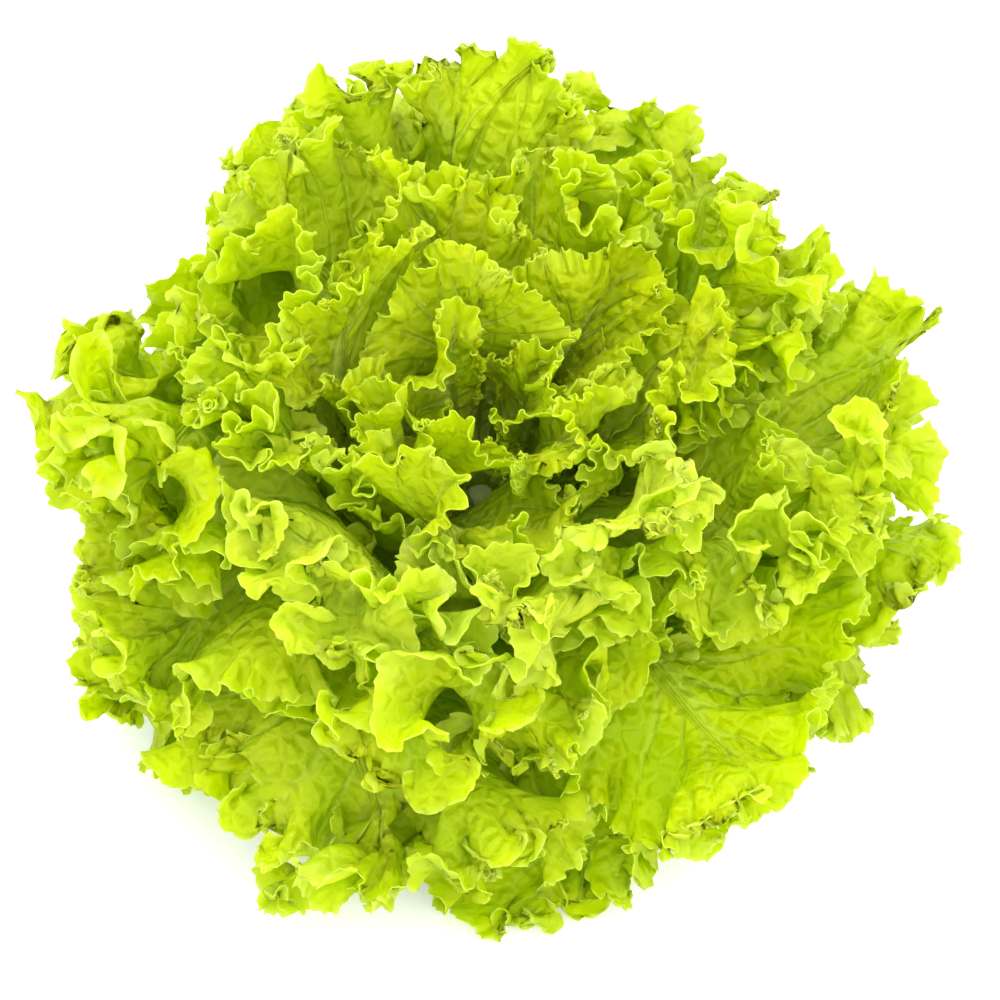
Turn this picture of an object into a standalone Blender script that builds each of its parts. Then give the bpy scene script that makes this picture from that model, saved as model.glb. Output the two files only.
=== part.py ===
"""A whole head of green leaf lettuce, standing on its cut stem.

The leaves sit on the stem in a golden-angle spiral, the oldest lowest and outermost.
Each leaf is a thin ruffled blade on a thick flat stalk. Its midrib follows an arc in an
upright plane, the blade wraps round the head on a shell of its own, and the free margin
is ruffled as far as the neighbouring leaves leave room for it.
"""
import math
from typing import NamedTuple

import bmesh
import bpy
import numpy as np
from mathutils.bvhtree import BVHTree

COLLECTION = "green_leaf_lettuce"

LEAF_COUNT = 34
GOLDEN_ANGLE = math.radians(137.508)
FIRST_AZIMUTH = math.radians(285)
SEED = 500

# Head: the midribs' tips lie on a low dome with a dip over the heart
HEAD_RADIUS = 0.143
HEAD_CENTRE = 0.056
HEAD_HEIGHT = 0.124
HEART_DIP = 0.052
DIP_FROM = math.radians(38)
DIP_TO = math.radians(90)
LOWEST_TIP = math.radians(-17)
TIP_SWEEP = math.radians(100)
OUTER_DROOP = math.radians(21)

# The back of the head stands up and the front leans out, about a ring round the stem
BACK_LEAN = math.radians(10)
FRONT_LEAN = math.radians(6)
LEAN_PIVOT = (0.012, 0.030)
LEAN_FULL = 0.07

# Where the stalks leave the stem: radius and height of the oldest and the youngest
STALK_RADIUS = (0.020, 0.006)
STALK_HEIGHT = (0.012, 0.060)

# Leaf outline as (share of the half width, share of the length), from stalk to tip
OUTLINE = ((0.20, 0.0), (0.16, 0.13), (0.25, 0.27), (0.60, 0.43),
           (0.95, 0.62), (0.97, 0.80), (0.62, 0.96), (0.0, 1.0))
TYPICAL_WIDTH = 0.46
HALF_WIDTH = (0.066, 0.020)
HALF_WIDTH_BULGE = 0.044
LOBE_DEPTH = 0.05
LOBE_RATE = 9.0

# Side veins leave the midrib, which ends short of the tip, and bow back a little
MIDRIB_SHARE = 0.86
MIDRIB_CURVE = 1.25
MARGIN_CURVE = 0.78
VEIN_BOW = 0.06
CUP = 0.10
NEST = 0.20
TIGHTEST_WRAP = 0.012


class Ruffle(NamedTuple):
    """One generation of folds along the margin."""

    waves: float
    length: float
    height: float
    roll: float
    depth: float
    share: float


# Height and sideways roll are shares of the length; share is of the room between leaves
RUFFLES = (Ruffle(waves=7.0, length=0.044, height=0.36, roll=0.12, depth=0.060, share=0.95),
           Ruffle(waves=20.0, length=0.020, height=0.42, roll=0.14, depth=0.032, share=0.75))
RUFFLE_FADE = 1.3
RUFFLE_START = (0.20, 0.42)
UNEVEN = 0.96
SWELL = 0.35

# Room between leaves
NEIGHBOURS = 13
WIDEST_GAP = 0.045
HEART_GAP = 0.45
ROOM_SHARE = 0.90
SIDE_MARGIN = 0.006
END_MARGIN = 0.005
ROOM_SLOPE = 0.3
TIGHTEST_BEND = 0.6
EVEN_SHARE = 0.012

# Uneven growth that the whole head shares: push, waves per metre and phase
GROWTH = (((0.0060, 0, 0), (0, 9.5, 6.7), 0.7), ((0.0035, 0, 0), (0, -11.1, 14.3), 2.1),
          ((0, 0.0060, 0), (8.7, 0, -7.7), 4.1), ((0, 0.0035, 0), (13.3, 0, 12.5), 0.4),
          ((0, 0, 0.0070), (10.5, 7.1, 0), 1.9), ((0, 0, 0.0040), (-9.1, 14.3, 0), 5.2))
GROWTH_START = 1.25
GROWTH_FULL = 3.75
FLOOR_GAP = 0.0025
FLOOR_SOFTNESS = 0.006

BLADE = 0.0009
STALK = 0.0030
STALK_HALF_WIDTH = 0.011
STALK_END = 0.62
STALK_ROOM = 1.4
CLEARANCE = 0.0006
EASE_STEP = 0.0005
EASE_ROUNDS = 90

# Net of a blade: shares of the way from midrib to margin, and where its columns double
ROWS = (0.0, 0.45, 0.78, 1.0)
DOUBLED_ROWS = (2, 3)
COLUMNS = 16
FINER = 4

CUT_RADIUS = 0.0165
CUT_EDGE = 0.001
STEM_TOP = 0.056
STEM_SIDES = 28

LEAF_COLOUR = (0.33, 0.52, 0.020, 1.0)
HEART_COLOUR = (0.47, 0.63, 0.055, 1.0)
STEM_COLOUR = (0.66, 0.66, 0.36, 1.0)
HEART_FROM = 24


def smooth(x):
    x = np.clip(x, 0.0, 1.0)
    return x * x * (3.0 - 2.0 * x)


def between(pair, share):
    return pair[0] * (1 - share) + pair[1] * share


def ripple(x, seed):
    """Uneven wave of about unit height along x."""
    draw = np.random.default_rng(seed)
    total = np.zeros_like(x)
    for step in range(6):
        total += np.sin(x * draw.uniform(0.7, 1.3) * 2 ** (step / 2) + draw.uniform(0, 6.28)) / 1.3 ** step
    return total / 2.5


def evened(values):
    """Running mean along the margin."""
    width = max(1, round(EVEN_SHARE * len(values)))
    padded = np.pad(values, ((width, width), (0, 0)), mode="edge")
    run = np.cumsum(padded, axis=0)
    return (run[2 * width:] - run[:-2 * width]) / (2 * width)


def unit(vectors):
    return vectors / np.maximum(np.linalg.norm(vectors, axis=-1, keepdims=True), 1e-12)


def outline(share):
    """Smooth outline at shares of its own length, from the stalk's foot to the tip."""
    knots = np.array(OUTLINE)
    ahead = 2 * knots[0] - knots[1]
    beyond = (-knots[-2][0], knots[-2][1])
    knots = np.vstack([ahead, knots, beyond])
    at = np.linspace(0, len(OUTLINE) - 1, 800)
    k = np.minimum(at.astype(int), len(OUTLINE) - 2)
    f = (at - k)[:, None]
    a, b, c, d = knots[k], knots[k + 1], knots[k + 2], knots[k + 3]
    curve = b + 0.5 * f * (c - a + f * (2 * a - 5 * b + 4 * c - d + f * (3 * b - a - 3 * c + d)))
    steps = np.hypot(*np.diff(curve * (TYPICAL_WIDTH, 1.0), axis=0).T)
    run = np.concatenate([[0.0], np.cumsum(steps)])
    return np.interp(share, run / run[-1], curve[:, 0]), np.interp(share, run / run[-1], curve[:, 1])


def midrib(age):
    """Midrib's arc in its upright plane: start radius and height, both angles, length."""
    tip = LOWEST_TIP + TIP_SWEEP * age ** 0.92
    dip = HEART_DIP * float(smooth((tip - DIP_FROM) / (DIP_TO - DIP_FROM)))
    radius = between(STALK_RADIUS, age)
    height = between(STALK_HEIGHT, age)
    out = HEAD_RADIUS * math.cos(tip) - radius
    up = HEAD_CENTRE + HEAD_HEIGHT * math.sin(tip) - dip - height
    end = tip - OUTER_DROOP * (1 - age) ** 1.5
    start = 2 * math.atan2(up, out) - end
    bend = (start - end) / 2
    chord = math.hypot(out, up)
    length = chord * bend / math.sin(bend) if abs(bend) > 1e-3 else chord
    return radius, height, start, end, length


def shell(age, along, azimuth):
    """Radius, height and slope on the shell that leaves of one age lie on."""
    radius, height, start, end, length = midrib(age)
    turn = (end - start) / length
    turn = turn if abs(turn) > 1e-3 else 1e-3
    slope = start + turn * along
    out = radius + (np.sin(slope) - math.sin(start)) / turn - LEAN_PIVOT[0]
    up = height - (np.cos(slope) - math.cos(start)) / turn - LEAN_PIVOT[1]
    back = np.sin(azimuth)
    lean = np.where(back > 0, BACK_LEAN, FRONT_LEAN) * back * smooth(along / LEAN_FULL)
    r = LEAN_PIVOT[0] + out * np.cos(lean) - up * np.sin(lean)
    z = LEAN_PIVOT[1] + out * np.sin(lean) + up * np.cos(lean)
    return r, z, slope + lean


class Leaf:
    """One leaf's place in the spiral and its size; age is 0 outside and 1 in the heart."""

    def __init__(self, index):
        draw = np.random.default_rng(SEED + index)
        self.index = index
        self.age = index / (LEAF_COUNT - 1)
        self.length = midrib(self.age)[-1] * draw.uniform(0.92, 1.06)
        width = between(HALF_WIDTH, self.age) + HALF_WIDTH_BULGE * self.age * (1 - self.age)
        self.half_width = width * draw.uniform(0.94, 1.08)
        self.azimuth = FIRST_AZIMUTH + index * GOLDEN_ANGLE + draw.uniform(-0.12, 0.12)
        self.twist = draw.uniform(-0.16, 0.16)

    def centre(self, along):
        """Azimuth of the midrib at a distance along it."""
        return self.azimuth + self.twist * (along / self.length) ** 2

    def width_at(self, along):
        """Half width at a distance along the midrib."""
        across, share = outline(np.linspace(0, 1, 60))
        order = np.argsort(share)
        return self.half_width * np.interp(along / self.length, share[order], across[order])


def room_round(leaf, leaves, r, z, slope, along, azimuth):
    """Half the distance to the next leaves inwards and outwards, where they lie over this one."""
    room = []
    for side in (1, -1):
        nearest = np.full(along.shape, WIDEST_GAP)
        if side == 1:
            nearest = np.minimum(nearest, HEART_GAP * r)
        for step in range(1, NEIGHBOURS + 1):
            index = leaf.index + side * step
            if not 0 <= index < LEAF_COUNT:
                continue
            other = leaves[index]
            other_r, other_z, _ = shell(other.age, along, azimuth)
            gap = np.abs((other_r - r) * np.sin(slope) - (other_z - z) * np.cos(slope))
            off = np.abs((azimuth - other.centre(along) + math.pi) % math.tau - math.pi)
            beside = (off - (other.width_at(along) + SIDE_MARGIN) / np.maximum(other_r, 0.01)) * r
            past = np.maximum(np.maximum(beside, along - other.length - END_MARGIN), 0)
            nearest = np.minimum(nearest, gap / 2 + ROOM_SLOPE * past)
        room.append(nearest * ROOM_SHARE)
    return room


def settle(points):
    """Uneven growth that all leaves follow alike, and the surface under the lowest ones."""
    x, y, z = points[..., 0], points[..., 1], points[..., 2]
    off_stem = np.hypot(x, y) / STALK_RADIUS[0] + z / STALK_HEIGHT[1]
    grow = smooth((off_stem - GROWTH_START) / (GROWTH_FULL - GROWTH_START))
    moved = points.copy()
    for push, rate, phase in GROWTH:
        wave = grow * np.sin(math.tau * (points @ np.array(rate)) + phase)
        moved += wave[..., None] * np.array(push)
    soft = FLOOR_SOFTNESS * grow + 1e-4
    moved[..., 2] = FLOOR_GAP + soft * np.logaddexp(0, (moved[..., 2] - FLOOR_GAP) / soft)
    return moved


def flat_leaf(leaf, margin, rows):
    """The leaf laid flat: across and along its midrib, and the distance to its margin.

    margin runs from -1 to 1 round the leaf with the tip at 0, rows from midrib to margin.
    """
    share = (1 - np.abs(margin)) ** MARGIN_CURVE
    across, up = outline(share)
    across = across * leaf.half_width * np.sign(margin)
    up = up * leaf.length
    rib = MIDRIB_SHARE * leaf.length * share ** MIDRIB_CURVE
    lobe = 1 + LOBE_DEPTH * ripple(margin * LOBE_RATE, 4000 + leaf.index) * smooth((share - 0.3) / 0.3)
    x = (across * lobe)[:, None] * rows
    y = rib[:, None] + ((up - rib) * lobe)[:, None] * rows
    bow = VEIN_BOW * leaf.length * smooth((share - 0.2) / 0.4)
    y = y - bow[:, None] * rows * (1 - rows)
    inset = np.hypot(across, up - rib)[:, None] * (1 - rows)
    return x, y, inset, share


def ruffled(points, leaf, order, margin, inset, starts, room):
    """Lay one generation of folds over a sheet."""
    ruffle = RUFFLES[order]
    waves = ruffle.waves * (0.6 + 0.4 * leaf.half_width / HALF_WIDTH[0])
    phase = math.pi * waves * margin + UNEVEN * ripple(margin * waves * 0.9, 1000 * order + leaf.index)
    phase = (phase + leaf.index)[:, None]
    swell = 0.8 + SWELL * ripple(margin * waves * 0.6 + 3, 2000 * order + leaf.index)
    grow = np.exp(-(inset / ruffle.depth) ** RUFFLE_FADE) * starts * swell[:, None]
    step = np.gradient(points, axis=0)
    along = unit(step)
    normal = unit(np.cross(along, np.gradient(points, axis=1)))
    most = ruffle.share * room
    high = most * np.tanh(ruffle.height * ruffle.length / most)
    turn = np.linalg.norm(np.gradient(along, axis=0), axis=-1)
    bend = evened(turn / np.maximum(np.linalg.norm(step, axis=-1), 1e-5))
    high = high / np.sqrt(1 + (TIGHTEST_BEND * high * bend) ** 2)
    roll = ruffle.roll / ruffle.height * high * grow ** 2 * np.sin(2 * phase)
    return points + normal * (high * grow * np.sin(phase))[..., None] - along * roll[..., None]


def blade_sheet(leaf, leaves, margin, rows):
    """Middle surface of a leaf on a lattice, the way inwards across its shell, its thickness."""
    x, y, inset, share = flat_leaf(leaf, margin, rows)
    r, _, _ = shell(leaf.age, y, leaf.azimuth)
    azimuth = leaf.centre(y) + x / np.maximum(r, TIGHTEST_WRAP)
    r, z, slope = shell(leaf.age, y, azimuth)
    inner, outer = room_round(leaf, leaves, r, z, slope, y, azimuth)
    room = (inner + outer) / 2
    cup = np.minimum(CUP * np.abs(x), room) * smooth(2 * y / leaf.length)
    cup = cup - NEST * room + (inner - outer) / 4 * smooth(y / 0.04)
    inward = np.stack([-np.sin(slope) * np.cos(azimuth), -np.sin(slope) * np.sin(azimuth), np.cos(slope)], -1)
    points = np.stack([r * np.cos(azimuth), r * np.sin(azimuth), z], -1) + inward * cup[..., None]
    start, full = RUFFLE_START
    starts = smooth((share - start) / (full - start))[:, None] * smooth(rows / 0.35)
    for order in range(len(RUFFLES)):
        points = ruffled(points, leaf, order, margin, inset, starts, room)
    stalk = np.exp(-(x / STALK_HALF_WIDTH) ** 2) * smooth(1 - y / leaf.length / STALK_END)
    wall = np.maximum(np.minimum(STALK, STALK_ROOM * room), BLADE)
    return settle(points), inward, BLADE + (wall - BLADE) * stalk


def leaf_net(columns):
    """Net of a blade, denser towards the margin and joined along its midrib.

    Returns it with each point's column and row on the sheet and the faces' corners.
    """
    net = bmesh.new()
    last = len(ROWS) - 1
    finest = columns * 2 ** len(DOUBLED_ROWS)
    bmesh.ops.create_grid(net, x_segments=columns, y_segments=last, size=1.0)
    for row in DOUBLED_ROWS:
        level = [edge for edge in net.edges
                 if abs(edge.verts[0].co.y - edge.verts[1].co.y) < 1e-4
                 and round((edge.verts[0].co.y + 1) / 2 * last) >= row]
        bmesh.ops.subdivide_edges(net, edges=level, cuts=1, use_grid_fill=True)
    bmesh.ops.triangulate(net, faces=net.faces)
    rib = sorted((vert for vert in net.verts if vert.co.y < -0.999), key=lambda vert: vert.co.x)
    bmesh.ops.weld_verts(net, targetmap=dict(zip(rib[:len(rib) // 2], reversed(rib))))
    net.verts.index_update()
    column = np.array([round((vert.co.x + 1) / 2 * finest) for vert in net.verts])
    row = np.array([round((vert.co.y + 1) / 2 * last) for vert in net.verts])
    faces = [tuple(vert.index for vert in face.verts) for face in net.faces]
    return net, column, row, faces


def vertex_normals(points, faces):
    """Area-weighted normals of a triangle net."""
    corners = np.array(faces)
    a, b, c = (points[corners[:, corner]] for corner in range(3))
    flat = np.cross(b - a, c - a)
    normals = np.zeros_like(points)
    for corner in range(3):
        np.add.at(normals, corners[:, corner], flat)
    return unit(normals)


class Blade:
    """A leaf's points on its sheet, with the net that is laid over them."""

    def __init__(self, leaf, leaves, net):
        self.leaf = leaf
        self.net, self.column, self.row, self.faces = net
        margin = np.linspace(-1, 1, FINER * self.column.max() + 1)
        rows = np.interp(np.arange(FINER * (len(ROWS) - 1) + 1) / FINER, range(len(ROWS)), ROWS)
        sheet = blade_sheet(leaf, leaves, margin, rows)
        self.points, self.inward, self.thickness = (layer[::FINER, ::FINER].copy() for layer in sheet)

    def corners(self):
        return self.points[self.column, self.row]

    def walls(self):
        return self.thickness[self.column, self.row]

    def tree(self):
        """Both faces of the leaf, each with half the clearance over it."""
        points = self.corners()
        offset = vertex_normals(points, self.faces) * (self.walls() + CLEARANCE)[:, None] / 2
        count = len(points)
        faces = self.faces + [tuple(corner + count for corner in face) for face in self.faces]
        return BVHTree.FromPolygons(np.concatenate([points + offset, points - offset]).tolist(), faces)

    def push(self, touched, step):
        """Move the touched points, and less those beside them, across the shell."""
        force = np.zeros(self.points.shape[:2])
        for face in touched:
            for corner in self.faces[face % len(self.faces)]:
                force[self.column[corner], self.row[corner]] = 1
        for axis in (0, 1):
            padded = np.pad(force, [(1, 1) if axis == side else (0, 0) for side in (0, 1)], mode="edge")
            ahead = np.take(padded, range(2, padded.shape[axis]), axis)
            behind = np.take(padded, range(padded.shape[axis] - 2), axis)
            force = np.maximum(force, (ahead + behind) / 2.5)
        if step > 0:
            force = force * smooth((np.hypot(self.points[..., 0], self.points[..., 1]) - 0.008) / 0.03)
        self.points += self.inward * (force * step)[..., None]
        self.points[..., 2] = np.maximum(self.points[..., 2], FLOOR_GAP)


def ease_apart(blades, rounds=EASE_ROUNDS):
    """Shift leaves that meet, the older one outwards and the younger one inwards."""
    pairs = [(older, younger) for younger in range(len(blades)) for older in range(younger)]
    moved = set(range(len(blades)))
    trees = {}
    for turn in range(rounds):
        trees.update({index: blades[index].tree() for index in moved})
        touched = {}
        for older, younger in pairs:
            if older not in moved and younger not in moved:
                continue
            for outer_face, inner_face in trees[older].overlap(trees[younger]):
                touched.setdefault((older, -EASE_STEP), set()).add(outer_face)
                touched.setdefault((younger, EASE_STEP), set()).add(inner_face)
        if not touched:
            return turn
        moved = {index for index, _ in touched}
        for (index, step), faces in touched.items():
            blades[index].push(faces, step)
    return rounds


def material(name, colour, roughness):
    made = bpy.data.materials.new(name)
    made.use_nodes = True
    shader = made.node_tree.nodes["Principled BSDF"]
    shader.inputs["Base Color"].default_value = colour
    shader.inputs["Roughness"].default_value = roughness
    shader.inputs["Metallic"].default_value = 0.0
    return made


def add_object(name, mesh, finish, home):
    mesh.materials.append(finish)
    made = bpy.data.objects.new(name, mesh)
    home.objects.link(made)
    return made


def add_leaf(blade, finish, home):
    """Leaf solid: the net on its points, given a thickness that grows towards the stalk."""
    net = blade.net.copy()
    net.verts.ensure_lookup_table()
    weights = net.verts.layers.deform.verify()
    for vert, point, wall in zip(net.verts, blade.corners(), blade.walls()):
        vert.co = point
        vert[weights][0] = wall / STALK
    name = f"leaf_{blade.leaf.index + 1:02d}"
    mesh = bpy.data.meshes.new(name)
    net.to_mesh(mesh)
    net.free()
    leaf = add_object(name, mesh, finish, home)
    leaf.vertex_groups.new(name="thickness")
    solid = leaf.modifiers.new("thickness", "SOLIDIFY")
    solid.thickness = STALK
    solid.offset = 0.0
    solid.vertex_group = "thickness"
    solid.thickness_vertex_group = 0.0


def add_stem(finish, home):
    """Cut stem: a flat cut face below, and the core that the stalks grow from above."""
    shoulder = STALK_RADIUS[0] - STALK / 2 - 2 * CLEARANCE
    taper = (STALK_RADIUS[0] - STALK_RADIUS[1]) / (STALK_HEIGHT[1] - STALK_HEIGHT[0])
    neck = STEM_TOP - 0.002
    crown = shoulder - taper * (neck - STALK_HEIGHT[0])
    profile = ((0.0, STEM_TOP), (0.7 * crown, STEM_TOP - 0.0005), (crown, neck), (shoulder, STALK_HEIGHT[0]),
               (CUT_RADIUS, CUT_EDGE), (CUT_RADIUS - CUT_EDGE, 0.0), (0.0, 0.0))
    half = bmesh.new()
    corners = [half.verts.new((radius, 0.0, height)) for radius, height in profile]
    for upper, lower in zip(corners, corners[1:]):
        half.edges.new((upper, lower))
    mesh = bpy.data.meshes.new("stem")
    half.to_mesh(mesh)
    half.free()
    stem = add_object("stem", mesh, finish, home)
    turned = stem.modifiers.new("turned", "SCREW")
    turned.angle = math.tau
    turned.steps = STEM_SIDES
    turned.render_steps = STEM_SIDES
    turned.use_merge_vertices = True
    turned.merge_threshold = 0.00001


def main():
    for old in list(bpy.data.objects):
        bpy.data.objects.remove(old, do_unlink=True)
    home = bpy.data.collections.new(COLLECTION)
    bpy.context.scene.collection.children.link(home)
    leaf_green = material("leaf_green", LEAF_COLOUR, 0.42)
    heart_green = material("heart_green", HEART_COLOUR, 0.42)
    stem_cream = material("stem_cream", STEM_COLOUR, 0.55)
    leaves = [Leaf(index) for index in range(LEAF_COUNT)]
    net = leaf_net(COLUMNS)
    blades = [Blade(leaf, leaves, net) for leaf in leaves]
    print("leaves clear of each other after", ease_apart(blades), "rounds")
    for blade in blades:
        add_leaf(blade, heart_green if blade.leaf.index >= HEART_FROM else leaf_green, home)
    add_stem(stem_cream, home)


main()
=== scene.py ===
"""A head of green leaf lettuce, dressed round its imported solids.

Every leaf solid is replaced by a finer blade that lies on the same shell, reaches as far and
keeps the same large folds. Its margin is then grown: the free edge gets several times the
length that its place has room for, and settles into curls, loops and small waves.
"""
import logging
import math
from dataclasses import dataclass, field
from enum import Enum, IntEnum
from typing import Any, Optional

import bmesh
import bpy
import numpy as np
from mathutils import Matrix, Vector
from mathutils.bvhtree import BVHTree


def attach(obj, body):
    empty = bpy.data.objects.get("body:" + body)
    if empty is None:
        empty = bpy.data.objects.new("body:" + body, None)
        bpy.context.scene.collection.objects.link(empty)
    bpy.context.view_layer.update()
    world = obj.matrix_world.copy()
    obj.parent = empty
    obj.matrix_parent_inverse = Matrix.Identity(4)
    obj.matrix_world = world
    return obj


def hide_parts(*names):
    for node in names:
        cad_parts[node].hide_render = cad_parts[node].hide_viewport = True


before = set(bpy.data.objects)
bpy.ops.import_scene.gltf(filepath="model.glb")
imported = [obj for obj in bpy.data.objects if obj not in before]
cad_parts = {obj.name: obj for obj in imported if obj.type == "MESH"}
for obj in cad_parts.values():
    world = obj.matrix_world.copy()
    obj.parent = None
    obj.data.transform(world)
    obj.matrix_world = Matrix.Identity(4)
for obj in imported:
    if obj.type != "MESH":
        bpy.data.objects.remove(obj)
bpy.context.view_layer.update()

LOG = logging.getLogger("lettuce")

Array = np.ndarray
Colour = tuple[float, float, float]

PER_METRE = 1000
PATCH_STEP = 400
RIPPLE_PARTS = 6
RIPPLE_RATES = (0.7, 1.3)
RIPPLE_TURN = 6.28
RIPPLE_FADE = 1.3
RIPPLE_HEIGHT = 2.5


class Seed(IntEnum):
    """First seed of each kind of random draw; the leaf's number is added to it."""

    PATCHES = 500
    FOLDS = 1000
    SWELL = 2000
    LOBES = 4000
    CRIMPS = 7000
    CRIMP_STRENGTH = 7100
    SCALLOPS = 7200
    TEETH = 7300
    TINT = 8000


def smooth(x: Any) -> Any:
    """Ease from 0 to 1 as x goes from 0 to 1."""
    x = np.clip(x, 0.0, 1.0)
    return x * x * (3.0 - 2.0 * x)


def between(pair: tuple[float, float], share: float) -> float:
    """Value at a share of the way from the first of a pair to the second."""
    return pair[0] * (1 - share) + pair[1] * share


def unit(vectors: Array) -> Array:
    """Vectors scaled to length 1."""
    return vectors / np.maximum(np.linalg.norm(vectors, axis=-1, keepdims=True), 1e-12)


def ripple(x: Array, seed: int) -> Array:
    """Uneven wave of about unit height.

    Args:
        x: Places along the wave, in radians of its main part.
        seed: Seed of its phases and rates.

    Returns:
        The wave's height at each place.
    """
    draw = np.random.default_rng(seed)
    total = np.zeros_like(x)
    for part in range(RIPPLE_PARTS):
        rate = draw.uniform(*RIPPLE_RATES) * 2 ** (part / 2)
        total += np.sin(x * rate + draw.uniform(0, RIPPLE_TURN)) / RIPPLE_FADE ** part
    return total / RIPPLE_HEIGHT


def curved(a: Any, b: Any, c: Any, d: Any, f: Any) -> Any:
    """Value between b and c on a smooth curve through four values in a row."""
    return b + 0.5 * f * (c - a + f * (2 * a - 5 * b + 4 * c - d + f * (3 * b - a - 3 * c + d)))


def recounted(sheet: Array, count: int) -> Array:
    """Sheet with another number of columns, on smooth curves through the known ones.

    Args:
        sheet: Values by column, row and axis.
        count: Number of columns wanted.

    Returns:
        The values on the wanted columns.
    """
    at = np.linspace(0, len(sheet) - 1, count)
    left = np.minimum(at.astype(int), len(sheet) - 2)
    share = (at - left)[:, None, None]
    padded = np.concatenate([2 * sheet[:1] - sheet[1:2], sheet, 2 * sheet[-1:] - sheet[-2:-1]])
    return curved(*(padded[left + step] for step in range(4)), share)


def evened(values: Array, share: float = 0.012) -> Array:
    """Running mean along the margin.

    Args:
        values: One row for each column of a sheet.
        share: Half width of the mean as a share of the margin.

    Returns:
        The evened rows.
    """
    width = max(1, round(share * len(values)))
    padded = np.pad(values, ((width, width), (0, 0)), mode="edge")
    run = np.cumsum(padded, axis=0)
    return (run[2 * width:] - run[:-2 * width]) / (2 * width)


def resampled(layer: Array, margin: Array, rows: Array, to_margin: Array, to_rows: Array) -> Array:
    """Sheets read at other columns and rows, in straight lines between the known ones.

    Args:
        layer: Values by leaf, column, row and axis.
        margin: Places of the known columns.
        rows: Places of the known rows.
        to_margin: Places of the wanted columns.
        to_rows: Places of the wanted rows.

    Returns:
        The values by leaf, wanted column, wanted row and axis.
    """
    for axis, known, wanted in ((1, margin, to_margin), (2, rows, to_rows)):
        at = np.clip(np.searchsorted(known, wanted, side="right") - 1, 0, len(known) - 2)
        share = ((wanted - known[at]) / (known[at + 1] - known[at])).astype(layer.dtype)
        share = share.reshape([-1 if dim == axis else 1 for dim in range(layer.ndim)])
        layer = np.take(layer, at, axis) * (1 - share) + np.take(layer, at + 1, axis) * share
    return layer


@dataclass(frozen=True)
class Arc:
    """A midrib's arc in its upright plane."""

    radius: float
    height: float
    start: float
    end: float
    length: float


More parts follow.
